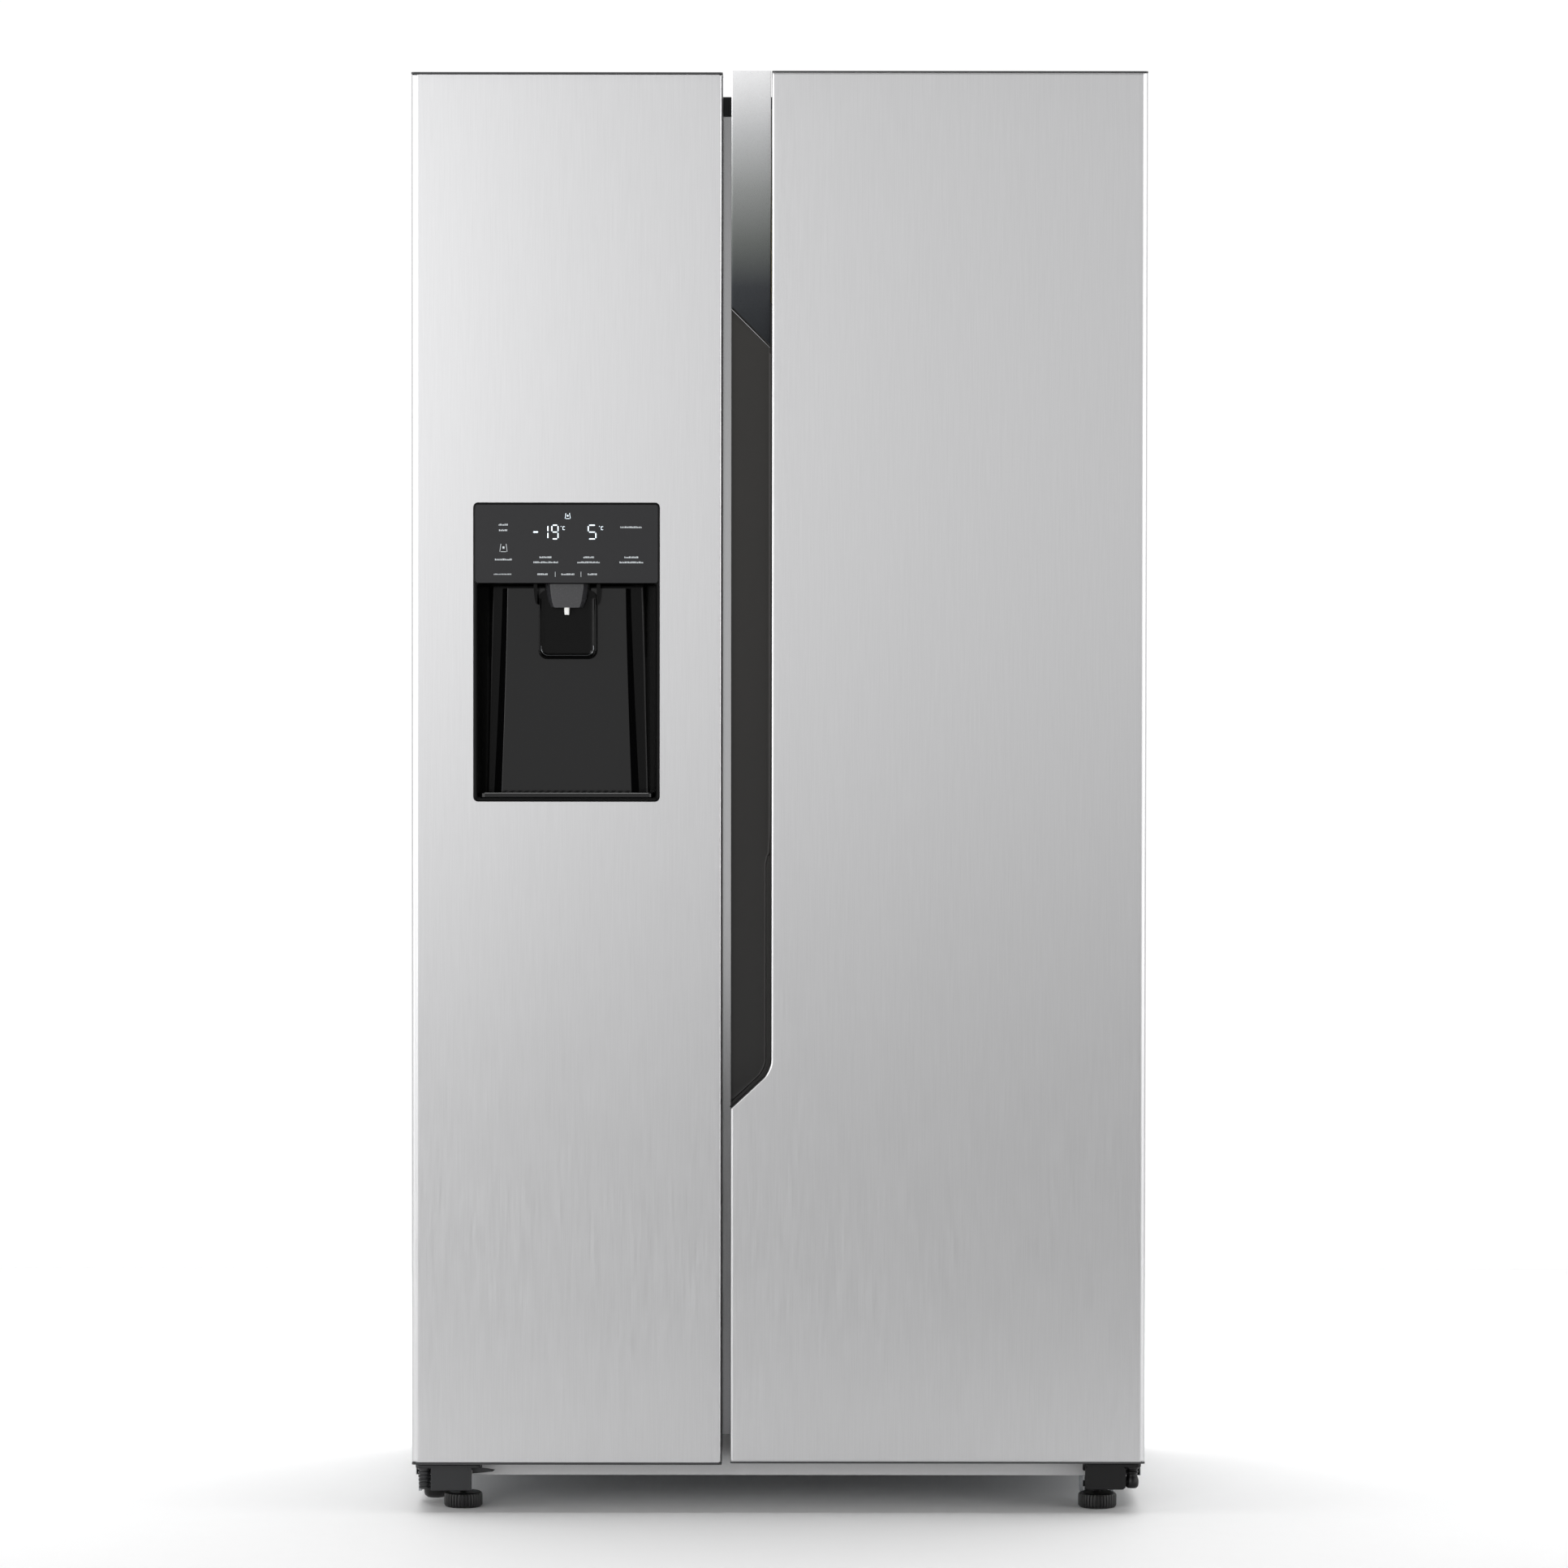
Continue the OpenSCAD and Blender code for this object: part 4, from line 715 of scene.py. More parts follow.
upper_box = rings((DISP_LO[0] + 5, DISP_HI[0] - 5, CEILING + 1, DISP_HI[2] - 3),
                  [(0, DEEP + 2), (0, FACE + 6.2), (1.5, FACE + 6.2), (1.5, DEEP - 1)], 3, "y")
piece("dispenser_recess", [recess_cup(), bezel(), ledge_frame(), collar(-1), collar(1), upper_box],
      SATIN_BLACK, "dispenser_housing")
piece("rear_apron", [tongue()], GLOSS_BLACK, "dispenser_housing", extra=True)


def spout():
    """Ice spout: sections stacked downwards, each a flat front between two facets that turn
    back to the sides; the outline narrows in a curve and the mouth is hollow."""
    z = np.array([4.4, 0.0, -6, -12, -18, -22, -25.5, -28.5, -29.8, -30.0]) + CEILING
    wide = np.array([26.3, 26.2, 25.9, 25.3, 24.2, 23.0, 21.6, 20.2, 19.4, 18.6])
    nose = np.array([20.2, 20.1, 19.8, 19.2, 18.4, 17.6, 16.7, 15.8, 15.2, 14.6])

    def section(n, w, front, ease, bevel, rear):
        loop = mirrored([(n, front), (n + ease, front + 0.4), (w - ease, bevel[0]),
                         (w, bevel[1]), (w, rear), (w - 1, rear + 1.2)])
        return loop[-1:] + loop[:-1]

    rows = [section(n, w, -313.6, 0.7, (-305, -303.8), -292.6) for w, n in zip(wide, nose)]
    rows += [section(14.6 - s, 18.6 - s, -311.6, 0.5, (-304, -303), -294.6) for s in (2.2, 3.2, 3.4)]
    heights = np.concatenate([z, [CEILING - 29.6, CEILING - 26, CEILING - 8]])
    flat = np.array(rows)
    return skin(np.dstack([flat[:, :, 0] + DX, flat[:, :, 1], np.repeat(heights[:, None], 12, 1)]))


piece("ice_spout", [spout(), slab((DX - 37.5, DX + 37.5), (-314, -291), (CEILING + 4.2, CEILING + 6.2), 2,
        0.4)],
      SPOUT, "dispenser_spout")
noz = [(2.3, CEILING + 20), (3.3, CEILING + 20), (3.3, CEILING - 32), (3.1, CEILING - 37),
        (2.7, CEILING - 38.8), (1.9, CEILING - 39),
       (1.9, CEILING - 30)]
piece("nozzle_tip", [lathe(noz, (DX, -310.0, 0), n=32)], WHITE_NYLON, "water_nozzle")


def paddle():
    """Paddle blade: a rounded plate with a dished face; its rim stands proud only low down."""
    lo, hi = span("dispenser_paddle")
    w, bottom, top = 36.0, lo[2], CEILING - 8
    profile = [(1.2, -282.0), (0.0, -283.0), (0.0, -289.0), (0.5, -289.8), (1.4, -290.0), (2.4, -289.6),
            (2.9, -288.6),
               (3.3, -287.2), (5.0, -286.4), (9.0, -286.1)]
    v, f = rings((DX - w, DX + w, bottom, top), profile, 11, "y", 10)
    fade = np.clip((v[:, 2] - bottom - 10) / 8, 0, 1)
    proud = v[:, 1] < -286.1
    v[:, 1] = np.where(proud, v[:, 1] + (-286.1 - v[:, 1]) * fade, v[:, 1])
    return v, f


def paddle_lip_painted_highlight():
    """Bright bead along the paddle's lower lip, a painted highlight: two short uprights, two quarter turns and
    the base.
    """
    low, rise, half, r = 1064.3, 12.0, 32.6, 9.0
    a = np.linspace(0, np.pi / 2, 8)
    left = np.stack([DX - half + r * (1 - np.cos(a)), low + r * (1 - np.sin(a))], 1)
    flat = np.vstack([[(DX - half, low + rise)], left, left[::-1] * (-1, 1) + (2 * DX, 0),
            [(DX + half, low + rise)]])
    return tube(stand_up(flat, -289.9, "y"), 0.55, 8)


PAD_LO, PAD_HI = span("dispenser_paddle")
pad_z = PAD_HI[2] - 2.5
piece("paddle_blade", [paddle(), slab((DX - 28, DX + 28), (-285.9, -282.1), (CEILING - 10, pad_z), 1, 0.4),
                       shaft(2.5, 2.2, (PAD_LO[0], PAD_HI[0]), 0.4, (0, -284, pad_z), "x", 20)],
      SATIN_BLACK, "dispenser_paddle")
# Painted highlight: the bright bead along the paddle's lip.
piece("paddle_lip_painted_highlight", [paddle_lip_painted_highlight()], LIP_PAINTED_HIGHLIGHT, "dispenser_paddle", extra=True)
TRAY_LO, TRAY_HI = span("drip_tray")
bars = [slab((x, x + 4.2), (TRAY_LO[1] + 8, TRAY_HI[1] - 6.5), (TRAY_HI[2] - 2.2, TRAY_HI[2]), 0.8, 0.4, k=2,
        n=1)
        for x in np.arange(TRAY_LO[0] + 12, TRAY_HI[0] - 14, 9.0)]
frame_ring = rings((TRAY_LO[0], TRAY_HI[0], TRAY_LO[1], TRAY_HI[1]),
                   [(0, TRAY_LO[2] + 1), (0, TRAY_HI[2] - 0.8), (0.8, TRAY_HI[2]), (7.5, TRAY_HI[2]),
                   (8.3, TRAY_HI[2] - 0.8), (8.3, TRAY_LO[2] + 1)],
                   6, "z", 6, close=True)
piece("drip_grille", [frame_ring, slab((TRAY_LO[0], TRAY_HI[0]), (TRAY_LO[1], TRAY_HI[1]),
        (TRAY_LO[2], TRAY_LO[2] + 1.4), 6, 0.4), *bars],
      GLOSS_BLACK, "drip_tray")

piece("panel_lens", [slab((PANEL_LO[0], PANEL_HI[0]), (FACE + 0.35, FACE + 5.5), (PANEL_LO[2], PANEL_HI[2]),
        3.0, 0.35, "y")],
      LENS, "control_panel")

PRINT_Y = (FACE + 0.18, FACE + 0.5)


def mark(x, z, w, h, r=0.3):
    """One printed stroke centred at x and z."""
    return slab((x - w / 2, x + w / 2), PRINT_Y, (z - h / 2, z + h / 2), r, 0.05, "y", 2, 1)


SEGMENTS = {"1": "bc", "5": "afgcd", "9": "abcdfg"}


def digit(code, x, z, w=7.6, h=16.9, t=1.75):
    """Seven-segment figure: bars a to g round two stacked squares."""
    place = {"a": (0, h / 2, w - t, t), "g": (0, 0, w - t, t), "d": (0, -h / 2, w - t, t),
            "b": (w / 2, h / 4, t, h / 2 - t),
             "c": (w / 2, -h / 4, t, h / 2 - t), "f": (-w / 2, h / 4, t, h / 2 - t),
             "e": (-w / 2, -h / 4, t, h / 2 - t)}
    return [mark(x + place[s][0], z + place[s][1], place[s][2] - 0.3, place[s][3] - 0.3,
            0.55) for s in SEGMENTS[code]]


def words(x, z, wide, h=1.7, seed=1):
    """A line of short strokes that stands for a printed label."""
    rng = np.random.default_rng(seed)
    out, at = [], x - wide / 2
    while at < x + wide / 2 - 0.6:
        w = float(rng.uniform(0.6, 1.3))
        tall = h * (1.0 if rng.uniform() > 0.35 else 0.7)
        out.append(mark(at + w / 2, z - (h - tall) / 2, min(w, x + wide / 2 - at), tall, 0.15))
        at += w + 0.55
    return out


def cup(x, z, s=1.0):
    """Small tumbler outline: two slanted sides, a base and a dot."""
    side = [leaned(mark(x + k * 2.5 * s, z, 0.6, 6.4 * s), -k * 0.14, (x + k * 2.5 * s, 0, z)) for k in (-1,
            1)]
    return side + [mark(x, z - 3.1 * s, 4.4 * s, 0.6), mark(x, z + 0.2 * s, 1.6 * s, 1.8 * s, 0.5)]


PZ = PANEL_LO[2]
lit = [mark(-301.3, PZ + 63, 6.0, 1.9, 0.6)] + digit("1", -289.9, PZ + 63) + digit("9", -277.4, PZ + 63)
lit += digit("5", -231.5, PZ + 63, w=9.4) + cup(-261.6, PZ + 83, 1.1)
for x in (-268.2, -220.8):
    lit += [mark(x - 1.6, PZ + 70, 1.0, 1.0, 0.5), mark(x + 0.6, PZ + 67.8, 0.6, 4.2),
            mark(x + 1.9, PZ + 69.7, 2.4, 0.6), mark(x + 1.9, PZ + 65.9, 2.4, 0.6)]
piece("panel_figures", lit, LEGEND, "control_panel", extra=True)
dim = []
for i, (x, z, wide, h) in enumerate(((-341, 72, 12, 2.2), (-341, 65.2, 11, 2.2), (-341, 29, 21, 2.2),
        (-342, 10.8, 22, 1.4), (-288.9, 31.8, 15, 2.2),
                                     (-288.9, 25.6, 30, 2.2), (-235.7, 31.8, 13, 2.2),
                                     (-235.7, 25.6, 28, 2.2), (-182.9, 69, 27, 2.2),
                                     (-182.9, 31.8, 17, 2.2), (-182.9, 25.6, 29, 2.2),
                                     (-292.4, 10.8, 13, 2.2), (-261.4, 10.8, 16, 2.2),
                                     (-230.7, 10.8, 12, 2.2))):
    dim += words(x, PZ + z, wide, h, seed=i + 3)
dim += [mark(-277.0, PZ + 10.8, 0.5, 6.5), mark(-245.2, PZ + 10.8, 0.5, 6.5)] + cup(-341.0, PZ + 43.5, 1.55)
piece("panel_legends", dim, LEGEND_DIM, "control_panel", extra=True)


# ---------------------------------------------------------------- running gear

def lower_hinge(name, side, foot_x):
    """Lower hinge: a bracket strip with a rounded plate under it, and a stack of cam washers."""
    node = "lower_hinge_left" if side < 0 else "lower_hinge_right"
    x, low = 441.0, (60.0 if side < 0 else 62.0)
    fx = side * foot_x
    inner = x - (70 if side < 0 else 60)
    shapes = [slab((inner, x + 11), (-254.6, -251.6), (44, 80), 2, 0.5, "y"),
              slab((inner, x + 11), (-295.5, -252.5), (low - 8, low - 4), 5, 0.8),
              slab((x - 59, x - 8), (-295.5, -292.5), (low - 36, low - 7), 5 if side > 0 else 2, 0.8, "y")]
    cam = [(6.2, low + 18), (6.0, low - 0.5), (8.5, low - 0.8), (8.5, low - 4.4)]
    under = [(5.0, low - 7.8), (8.5, low - 8), (8.5, low - 11)]
    if side < 0:
        for i in range(5):
            z = low - 11 - i * 4.6
            under += [(8.5 - 0.8 * i * 0.3, z - 0.2), (6.4, z - 0.8), (6.4, z - 1.9),
                    (8.3 - 0.24 * i, z - 2.4), (8.3 - 0.24 * i, z - 4.2)]
    else:
        under += [(7.0, low - 12), (6.6, low - 13.4), (8.0, low - 14.6), (8.0, low - 16), (6.6, low - 17.4),
                (6.6, low - 18.4)]
        under += [(8.6 - 2.0 * ((t - 0.6) / 0.6) ** 2, low - 19.4 - 14 * t) for t in np.linspace(0, 1, 10)]
    under += [(7.2 if side < 0 else 6.6, low - 34.2), (6.0, low - 35.0), (3, low - 35)]
    shapes += [lathe(cam, (x, -283.5, 0), n=40), lathe(under, (x, -283.5, 0), n=40)]
    boss = [(5.2, low - 7.2), (10, low - 7.2), (10, 31), (9, 28.2), (5.2, 28.2)]
    shapes.append(lathe(boss, (fx, -262, 0), n=36))
    if side < 0:
        shapes.append(prism([(x - 59, low - 8.6), (x - 59, low - 17), (x - 84, low - 14.6),
                (x - 87, low - 12.6), (x - 78, low - 11.2)],
                            -278, -272))
        shapes = [(s[0] * np.array([-1.0, 1, 1]), s[1]) for s in shapes]
    return piece(name, shapes, BLACK_STEEL if side > 0 else HINGE_STEEL, node, sharp=38)


lower_hinge("lower_hinge_bracket_left", -1, 394)
lower_hinge("lower_hinge_bracket_right", 1, 399)


def foot(name, node):
    """Levelling foot: a fluted pad, the flutes a cosine round the rim, on a threaded stem."""
    lo, hi = span(node)
    cx, cy = (lo[0] + hi[0]) / 2, -262.0

    def flutes(a, z):
        return -1.7 * np.clip(0.7 - 1.1 * np.cos(a * 36), 0, 1) * (1.0 if 3 < z < 17 else 0.0)

    pad = [(1, 0.0), (20, 0.0), (22.4, 0.6), (23.4, 2.0), (23.9, 3.2), (24, 9), (23.9, 15.5), (23.2, 17.4),
            (21, 18.8), (10, 19)]
    thread = [(5.0 - 0.7 * (i % 2), 18.5 + i * 0.75) for i in range(46)]
    return piece(name, [lathe(pad, (cx, cy, 0), n=288, wave=flutes),
            lathe([(4, 18)] + thread + [(3.5, 52.9)], (cx, cy, 0), n=28)],
                 BLACK_NYLON, node, sharp=28)


foot("levelling_foot_left", "front_foot_left")
foot("levelling_foot_right", "front_foot_right")


def roller(name, node, x, y, z, r, half, axle):
    """Roller with a crowned tread between two chamfers, and its axle."""
    t = np.linspace(-1, 1, 9)
    tread = [(r - 1.1 * abs(s) ** 2.4, x + s * half * 0.72) for s in t]
    sides = [(3.9, x - half * 0.55), (r * 0.5, x - half * 0.6), (r * 0.62, x - half), (r - 5, x - half),
            (r - 3.4, x - half * 0.93)]
    profile = sides + tread + [(rad, 2 * x - p) for rad, p in sides[::-1]]
    pin = shaft(4, 3.2, (x - axle, x + axle), 0.8, (0, y, z))
    return piece(name, [lathe(profile, (0, y, z), "x", 56), pin], BLACK_NYLON, node)


ROLL_LO, ROLL_HI = span("front_roller_left")
roll_y, roll_z = (ROLL_LO[1] + ROLL_HI[1]) / 2, (ROLL_LO[2] + ROLL_HI[2]) / 2
roller("front_castor_left", "front_roller_left", -431.0, roll_y, roll_z, 19, 14, 20)
roller("front_castor_right", "front_roller_right", 400.0, roll_y, roll_z, 19, 14, 20)
REAR_AXLE = (0, 270, 20)
rear = []
for s in (-1, 1):
    c = s * 417.5
    rear.append(lathe([(4, c - 12.5), (15, c - 12.5), (19, c - 11.6), (20, c - 9), (20, c + 9),
            (19, c + 11.6), (15, c + 12.5), (4, c + 12.5)],
                      REAR_AXLE, "x", 56))
rear.append(shaft(4, 3.2, (-428, 428), 0.8, REAR_AXLE))
piece("rear_castors", rear, BLACK_NYLON, "rear_rollers")

# ---------------------------------------------------------------- cabinet

CAB = (-454.0, 454.0, 38.0, 1736.0)


def arch(inset, r):
    """Section of the wrapper: up the left side, over the top with round shoulders, down the right."""
    a = np.linspace(0, np.pi / 2, 8)
    x0, x1, z1 = CAB[0] + inset, CAB[1] - inset, CAB[3] - inset
    r = max(r - inset, 0.3)
    left = np.stack([x0 + r - r * np.cos(a), z1 - r + r * np.sin(a)], 1)
    right = np.stack([x1 - r + r * np.sin(a), z1 - r + r * np.cos(a)], 1)
    return np.vstack([[(x0, CAB[2])], left, right, [(x1, CAB[2])]])


def wrapper():
    """Sheet wrapper: the arch section carried back from a folded front edge to a rolled rear."""
    rows = []
    for inset, y in ((3.2, -250.4), (2.6, -251.2), (1.4, -251.5), (0.5, -251.2), (0.1, -250.4), (0, -249),
            (0, 309.5), (0.3, 311), (1, 311.8),
                     (1.0, 305), (1.0, -248), (3.2, -249.2)):
        rows.append(stand_up(arch(inset, 5), y, "y"))
    return skin(np.array(rows), wrap_u=True, wrap_v=False)


def front_flanges():
    """Folded front flanges: two side strips and the two top strips, with a shallow step."""
    out = []
    for x, z in (((-453.4, -399), (38.2, 1735.4)), ((404, 453.4), (38.2, 1735.4)),
            ((-400, -90.2), (1684, 1735.4)), ((-39.8, 405), (1684, 1735.4))):
        out.append(slab(x, (-251.5, -250.3), z, 0.8, 0.4, "y"))
    return out


piece("cabinet_shell", [wrapper(), *front_flanges()], SIDE_PAINT, "cabinet_wrapper")


def ribbed_back():
    """Rear sheet: flat plate with pressed horizontal ribs and a pressed border, a smooth step."""
    lo, hi = span("back_panel")
    x = np.linspace(lo[0], hi[0], 90)
    z = np.linspace(lo[2], hi[2], 240)
    gx, gz = np.meshgrid(x, z, indexing="ij")
    edge = np.minimum(np.minimum(gx - lo[0], hi[0] - gx), np.minimum(gz - lo[2], hi[2] - gz))
    zone = 1 / (1 + np.exp(-(edge - 45) / 4))
    wave = np.clip(np.cos((gz - lo[2]) / 150 * 2 * np.pi) * 2.2 - 1.2, 0, 1)
    wave = wave * wave * (3 - 2 * wave)
    rear = hi[1] + 3.0 * zone * wave * 0.6 - 0.1
    front = np.full_like(rear, lo[1])
    a = np.stack([gx, rear, gz], 2)
    b = np.stack([gx, front, gz], 2)
    edges = [np.vstack([g[:, 0], g[-1, 1:], g[::-1, -1][1:], g[0, ::-1][1:-1]]) for g in (a, b)]
    return [skin(a, wrap_v=False), skin(b, wrap_v=False), skin(np.array(edges), caps=False)]


piece("rear_panel", ribbed_back(), ZINC, "back_panel")


def cover_shell():
    """Hinge and lamp cover on top: a low middle between two raised ends, with rounded steps."""
    def outline(e):
        z0, zm, zh = 1736.2, 1760 - e, 1779 - e
        pts = [(-453 + e, z0), (-453 + e, zh - 4), (-452 + e, zh - 1.2), (-449 + e, zh), (-388 - e, zh),
                (-385.2 - e, zh - 1.2), (-384 - e, zh - 4),
               (-384 - e, zm + 3), (-383, zm + 0.8), (-380.5, zm)]
        return np.array(pts + [(-x, z) for x, z in pts[::-1]])
    rows = []
    for e, y in ((2.4, -248.6), (2.0, -251.0), (0.8, -251.3), (0.2, -250.8), (0, -249.5), (0, -133),
            (0.4, -131), (1.4, -130), (2.4, -132)):
        rows.append(stand_up(outline(e), y, "y"))
    walls = [prism(outline(0.5), a, b) for a, b in ((-251.0, -249.0), (-132.5, -130.6))]
    return [skin(np.array(rows), wrap_u=True, wrap_v=False), *walls]


piece("top_trim", cover_shell(), DARK_PLASTIC, "top_cover")


def compressor_can():
    """Welded hermetic can: a turned profile with a seam flange, on two feet with mounts."""
    t = np.linspace(0, np.pi / 2, 10)
    low = [(84 * math.sin(a) * 0.98, 62 + 26 * (1 - math.cos(a))) for a in t]
    high = [(82 * math.cos(a), 158 + 60 * math.sin(a)) for a in t]
    seam = [(84, 92), (84, 146), (87, 148), (87, 154), (82, 156)]
    can = lathe(low + seam + high, (250, 205, 0), n=64)
    legs = [slab((155, 345), y, (54, 60), 8, 1.5) for y in ((150, 172), (238, 260))]
    pads = [lathe([(7, 44), (10.5, 45), (11, 47), (8, 49.5), (11, 52), (10, 54), (4, 54)], (x, y, 0),
            n=24) for x in (165, 335) for y in (160, 250)]
    pipes = [tube([(195, 150, 100 + 8 * i) for i in range(12)] + [(196 + 2 * i, 150,
            190 + 4 * i) for i in range(6)], 4, 12),
             tube([(305, 150, 105 + 9 * i) for i in range(17)], 4, 12)]
    box = slab((322, 352), (180, 230), (90, 150), 6, 3)
    return [can, *legs, *pads, *pipes, box]


piece("compressor_can", compressor_can(), BLACK_STEEL, "compressor", sharp=40)

# ---------------------------------------------------------------- interior

FZ_X = (-399.0, -92.0)
FR_X = (-38.0, 404.0)


def cavity(x, levels, back, drawer_rail):
    """Compartment liner: rounded section rings from the open front to the rear, where the
    floor rises over the machine space; shelf ledges and drawer rails stand on the walls."""
    def loop(e, low, y, r):
        return stand_up(rect_loop(x[0] - e, x[1] + e, low - e, 1684 + e, r, 6), y, "y")
    rows = [loop(2, 110, -250.3, 9), loop(2, 110, 62, 16), loop(2, 338, 62.1, 16), loop(2, 338, 247, 16),
            loop(1.4, 338, 247, 16),
            loop(-6, 340, 245, 14), loop(-2, 340, 243.8, 16), loop(-0.6, 340, 241, 16),
            loop(0, 340, 237, 16), loop(0, 340, 66, 16)]
    rows += [loop(0, 334 + 6 * t, 60.0 + 6 * t ** 2, 16) for t in (0.9, 0.6, 0.2)]
    rows += [loop(0, 120, 60, 16), loop(0, 113, 58.6, 16), loop(0, 110.6, 55, 16), loop(0, 110, 50, 16),
            loop(0, 110, -244, 12), loop(0.3, 110, -249, 10),
             loop(1.2, 110, -250.3, 9)]
    rear = loop(-6, 340, 245, 14)
    shapes = [skin(np.array(rows), caps=False), (rear, [list(range(len(rear)))])]
    for z in levels:
        for a, b in ((x[0] - 0.5, x[0] + 6), (x[1] - 6, x[1] + 0.5)):
            shapes.append(slab((a, b), (-118, back), (z - 8, z - 0.05), 3, 1.2))
    for z, far in ((212, 50), (428, 175)):
        shapes.append(slab(drawer_rail, (-205, far), (z, z + 8), 3, 1.5))
    return shapes


FZ_SHELF = [530, 760, 990, 1250]
FR_SHELF = [530, 790, 1050, 1330]
piece("freezer_cavity", cavity(FZ_X, FZ_SHELF, 180, (-399.5, -378)), LINER, "freezer_liner")
piece("fridge_cavity", cavity(FR_X, FR_SHELF, 215, (378, 404.5)), LINER, "fridge_liner")


def shelf_glass(x, y, z):
    """Glass plate with eased edges."""
    return slab((x[0] + 2, x[1] - 2), (y[0] + 4, y[1] - 3), (z + 0.2, z + 3.8), 6, 1.0)


def shelf_trim(x, y, z):
    """Moulded shelf border: a soft-cornered ring round the glass with a deeper front nose."""
    ring = rings((*x, *y), [(0, z + 0.4), (0, z + 4.2), (1.2, z + 5.2), (6.5, z + 5.2), (7.5, z + 4.2),
            (7.5, z + 3.9), (1.9, z + 3.9), (1.9, z + 0.1), (7.5, z + 0.1),
                            (7.5, z - 0.4), (1.0, z - 0.4)], 8, "z", 5, close=True)
    nose = slab(x, (y[0], y[0] + 10), (z - 10, z + 5.9), 3, 1.8)
    return [ring, nose]


for who, x, levels, rear_y in (("freezer", FZ_X, FZ_SHELF, 180), ("fridge", FR_X, FR_SHELF, 215)):
    node = who + "_shelves"
    lo, hi = span(node)
    wide = (lo[0], hi[0])
    piece(who + "_shelf_glass", [shelf_glass(wide, (lo[1], rear_y), z) for z in levels], GLASS, node)
    piece(who + "_shelf_trims", [s for z in levels for s in shelf_trim(wide, (lo[1], rear_y), z)], LINER,
            node,
          extra=True)


def drawer(name, node):
    """Drawer: a moulded tub and a deep front with a rolled grip across it."""
    lo, hi = span(node)
    x, y, z = (lo[0], hi[0]), (lo[1] + 18, hi[1]), (lo[2], hi[2])
    shapes = [tub(x, y, z, 9),
              slab(x, (lo[1] + 10, lo[1] + 19), z, 6, 2.5, "y")]
    mid = (x[0] + 60, x[1] - 60)
    t = np.linspace(0, 1, 9)
    grip = [(lo[1] + 11 - 10.5 * math.sin(s * np.pi / 2),
            hi[2] - 22 - 4 * (1 - math.cos(s * np.pi / 2))) for s in t]
    under = [(y0 + 0.4, z0 - 3.2) for y0, z0 in grip[::-1]]
    shapes.append(prism(grip + under, *mid, "x"))
    return piece(name, shapes, CLEAR, node)


for node in ("freezer_drawer_lower", "freezer_drawer_upper", "crisper_drawer_lower", "crisper_drawer_upper"):
    drawer(node + "_tub", node)


def bin_shape(x, z):
    """Door bin: rounded plan rings rising up a bowed front that leans out, over the rim and
    back down the inside; the rear wall stands straight against the door."""
    rows = []
    y_rear = -260.9
    outer = [(-158, 0, 6), (-155, 2, 8), (-149, 10, 9), (-144.5, 20, 10), (-143.6, 50, 10), (-143.6, 92, 10),
            (-144.4, 94.2, 10), (-145.6, 94.2, 9)]
    for y_front, h, r in outer:
        rows.append(stand_up(rect_loop(x[0], x[1], y_rear, y_front, r, 6), z + h, "z"))
    for y_front, h, r in [(-146.4, 92, 8), (-146.6, 50, 8), (-147.5, 21, 8), (-152, 12, 7), (-158.5, 5, 5),
            (-161, 3, 5)]:
        rows.append(stand_up(rect_loop(x[0] + 3, x[1] - 3, y_rear + 3, y_front, r, 6), z + h, "z"))
    return skin(np.array(rows))


piece("freezer_bin_tubs", [bin_shape((-381, -132), z) for z in FZ_BINS], CLEAR, "freezer_door_bins")
piece("fridge_bin_tubs", [bin_shape((-12, 386), z) for z in FR_BINS], CLEAR, "fridge_door_bins")

AUGER_Z = 1345
B_LO, B_HI = span("ice_bucket")
piece("ice_bucket_tub", [tub((B_LO[0], B_HI[0]), (B_LO[1], B_HI[1] - 3), (B_LO[2], B_HI[2]), 12),
                         lathe([(6.1, B_HI[1] - 4), (12, B_HI[1] - 4), (12, B_HI[1] - 0.8), (11.2, B_HI[1]),
                         (6.1, B_HI[1])], (DX, 0, AUGER_Z), "y", 36)],
      CLEAR, "ice_bucket")


def auger():
    """Ice auger: a flat helical blade of 2.4 turns on a shaft."""
    lo, hi = span("ice_auger")
    t = np.linspace(0, 1, 120)
    a = t * 2.4 * 2 * np.pi
    y = lo[1] + 8 + t * 92
    rows = []
    for rad, dy in ((5.5, -2.5), (37, -1.2), (37.6, 0), (37, 1.2), (5.5, 2.5)):
        rows.append(column(DX + rad * np.sin(a), y + dy, AUGER_Z + rad * np.cos(a)))
    return [upright(rows), shaft(6, 4.6, (lo[1], hi[1]), 1, (DX, 0, AUGER_Z), "y", 28)]


piece("auger_screw", auger(), ALUMINIUM, "ice_auger", sharp=40)


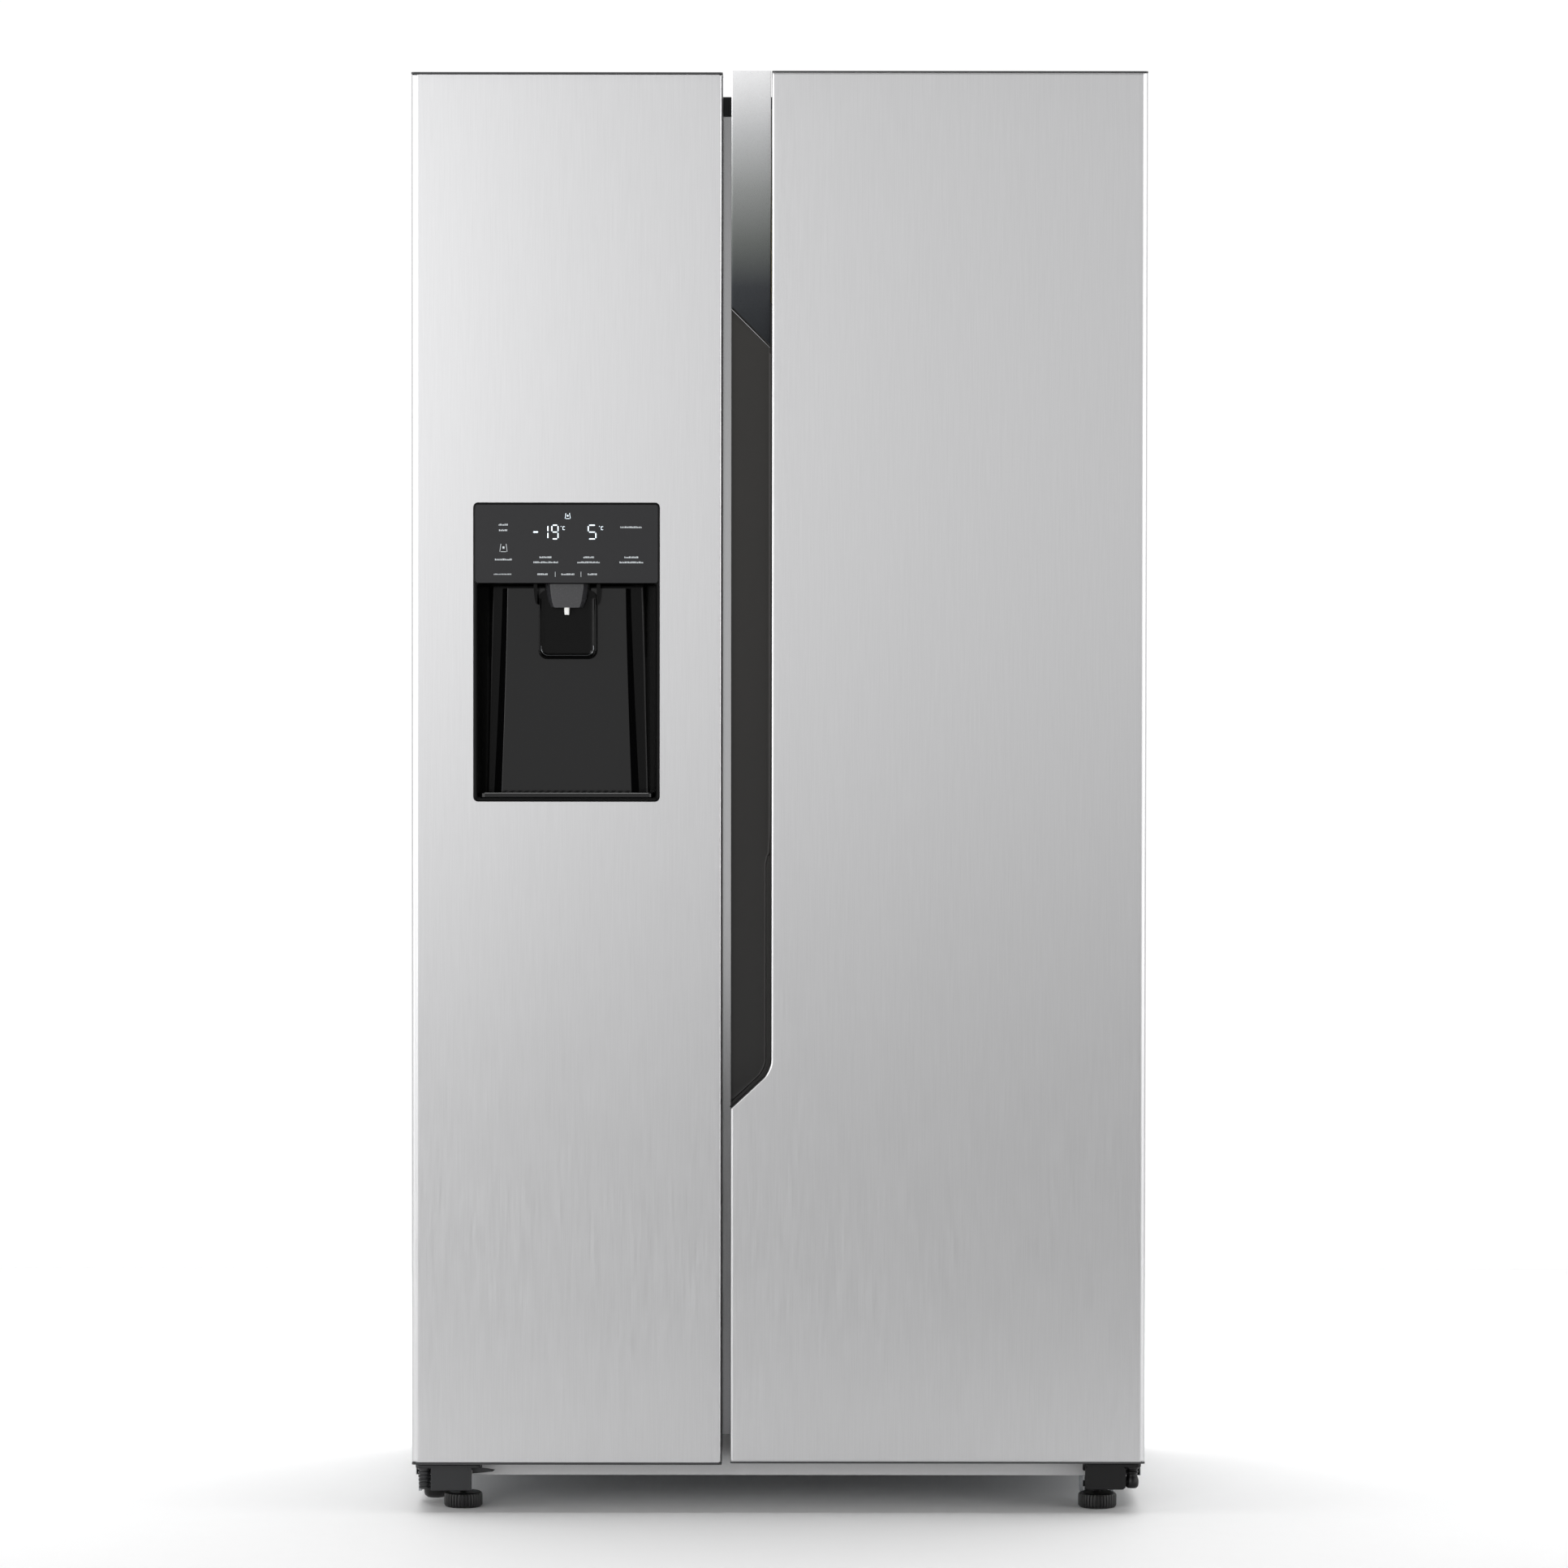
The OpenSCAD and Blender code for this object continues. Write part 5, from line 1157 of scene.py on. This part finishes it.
def cube_tray():
    """Ice tray: a plate with twelve rounded pockets sunk into it, on two shafts."""
    zc = 1575.0
    x0, x1, y0, y1 = -362.0, -156.0, -246.0, -154.0
    shapes = [rings((x0, x1, y0, y1), [(3, zc + 11.6), (0.6, zc + 11.8), (0, zc + 12.6), (0, zc + 13.4),
            (0.6, zc + 14), (2.6, zc + 14), (3, zc + 13.4)],
                    6, "z", 6, close=True)]
    for i in range(6):
        for y in (y0 + 4, y0 + 48):
            a, b = x0 + 5 + i * 33, x0 + 33 + i * 33
            cup = [(7.6, zc - 13), (8, zc - 11), (4, zc - 9.5), (1.5, zc - 3), (0, zc + 12.4), (0, zc + 12.4),
                   (-0.6, zc + 13.1), (-2.4, zc + 12.9), (-2.4, zc + 11.9)]
            shell = [(0, zc + 12.4), (0.2, zc - 4), (3, zc - 12), (7.6, zc - 13.6)]
            shapes += [rings((a, b, y, y + 40), profile, 8, "z", 4) for profile in (cup, shell)]
    for lo_x, hi_x in ((-373.5, -361), (-157, -144.5)):
        shapes.append(shaft(4, 3.4, (lo_x, hi_x), 0.6, (0, -200, zc)))
    for x in ((x0 - 0.2, x0 + 3.4), (x1 - 3.4, x1 + 0.2)):
        shapes.append(slab(x, (-212, -188), (zc - 12, zc + 12), 4, 0.8, "x"))
    return shapes


piece("cube_tray", cube_tray(), LINER, "ice_tray")

lamps = [slab((-300, -190), (-40, 40), (1679.5, 1683.8), 12, 1.2), slab((120, 250), (-60, 40),
        (1679.5, 1683.8), 12, 1.2)]
piece("freezer_lamp", lamps[:1], LAMP, "freezer_liner", extra=True)
piece("fridge_lamp", lamps[1:], LAMP, "fridge_liner", extra=True)

# ---------------------------------------------------------------- pieces kept from the model

KEEP = {"rail_paint": RAIL_PAINT, "mullion_paint": MULLION_PAINTED_SHADE, "galvanised_steel": ZINC,
        "rigid_foam": FOAM, "hinge_steel": HINGE_STEEL, "black_steel": BLACK_STEEL,
        "bare_aluminium": ALUMINIUM, "white_liner": LINER, "blue_plastic": BLUE_NYLON,
        "zinc_screws": ZINC_SCREWS_AND_RIM_HIGHLIGHT, "dark_plastic": DARK_PLASTIC, "cap_plastic": CAP_PLASTIC}
for node in frame["nodes"]:
    if node not in USED:
        obj = frame["nodes"][node]
        obj.data.materials.clear()
        obj.data.materials.append(KEEP[SLOT_OF[node]])

# ---------------------------------------------------------------- floor, light and camera

# Graduated paper: white under and behind the cabinet, greyer well in front of it.
FLOOR = finish("studio_paper", "#f7f7f7", 0.7, grain=40, tint=0.004, bump=0.0, rough_swing=0.01,
               ramp=[(-2600, "#a9a9a9"), (-900, "#f7f7f7"), (2600, "#f7f7f7")], ramp_axis="Y")
sheet = bpy.data.meshes.new("studio_floor")
sheet.from_pydata([(-8, -10, 0), (8, -10, 0), (8, 2.6, 0), (-8, 2.6, 0)], [], [(0, 1, 2, 3)])
sheet.materials.append(FLOOR)
floor = linked("studio_floor", sheet)

world = bpy.data.worlds.new("studio")
bpy.context.scene.world = world
world.use_nodes = True
sky = world.node_tree
sky.nodes["Background"].inputs["Color"].default_value = (1.0, 1.0, 1.0, 1.0)
way = add(sky, "SeparateXYZ", {"Vector": add(sky, "TexCoord").outputs["Generated"]})


def fade(source, start, end, low, high):
    """A value that runs from low to high as the source goes from start to end."""
    return add(sky, "MapRange", {"Value": source, "From Min": start, "From Max": end, "To Min": low,
            "To Max": high}).outputs["Result"]


def maths(operation, *terms):
    """One step of arithmetic on values of the sky."""
    return add(sky, "Math", dict(enumerate(terms)), operation=operation).outputs["Value"]


# A bright band round the horizon in front, an even white sweep behind, and brighter flanks for the door edges.
in_front = fade(way.outputs["Y"], -0.3, 0.2, 1.0, 0.0)
ahead = maths("MULTIPLY", in_front, fade(way.outputs["Z"], 0.05, 0.25, 1.36, 0.13))
behind = maths("MULTIPLY", fade(way.outputs["Y"], -0.3, 0.2, 0.0, 1.0),
        fade(way.outputs["Z"], 0.5, 0.75, 1.02, 0.15))
low_flank = maths("MULTIPLY", fade(way.outputs["Z"], 0.3, 0.55, 1.0, 0.0),
                  fade(maths("ABSOLUTE", way.outputs["X"]), 0.5, 0.7, 0.0, 2.3))
flank = maths("MULTIPLY", fade(way.outputs["Y"], -0.1, 0.3, 1.0, 0.0), low_flank)
total = maths("ADD", maths("ADD", ahead, behind), flank)
sky.links.new(total, sky.nodes["Background"].inputs["Strength"])


def area(name, place, target, size, power):
    """Rectangular soft light aimed at a point, all in metres."""
    data = bpy.data.lights.new(name, "AREA")
    data.shape = "RECTANGLE"
    data.size, data.size_y = size
    data.energy = power
    lamp = linked(name, data)
    lamp.location = place
    way = mathutils.Vector(target) - mathutils.Vector(place)
    lamp.rotation_euler = way.to_track_quat("-Z", "Y").to_euler()
    return lamp


area("soft_left", (-2.8, -7.2, 2.2), (-0.2, -0.3, 1.2), (2.0, 2.0), 78)
area("low_left", (-2.9, -7.2, 0.8), (-0.3, -0.3, 0.6), (1.6, 1.2), 26)
area("soft_strip", (-0.3, -5.4, 4.6), (-0.2, -0.3, 1.1), (4.0, 0.7), 12)
overhead = area("overhead", (0, 1.0, 4.6), (0, 1.0, 0), (6.0, 3.4), 84)
overhead.data.spread = math.radians(80)

cam_data = bpy.data.cameras.new("main")
cam_data.lens = 139.17
cam_data.sensor_width = 36.0
cam = linked("main", cam_data)
tilt = mathutils.Matrix.Rotation(math.radians(90 - 1.3898), 4, "X")
roll = mathutils.Matrix.Rotation(math.radians(0.0615), 4, "Z")
cam.matrix_world = mathutils.Matrix.Translation((0.00617, -7.8215, 1.08744)) @ tilt @ roll
bpy.context.scene.camera = cam
bpy.context.scene.view_settings.view_transform = "Standard"
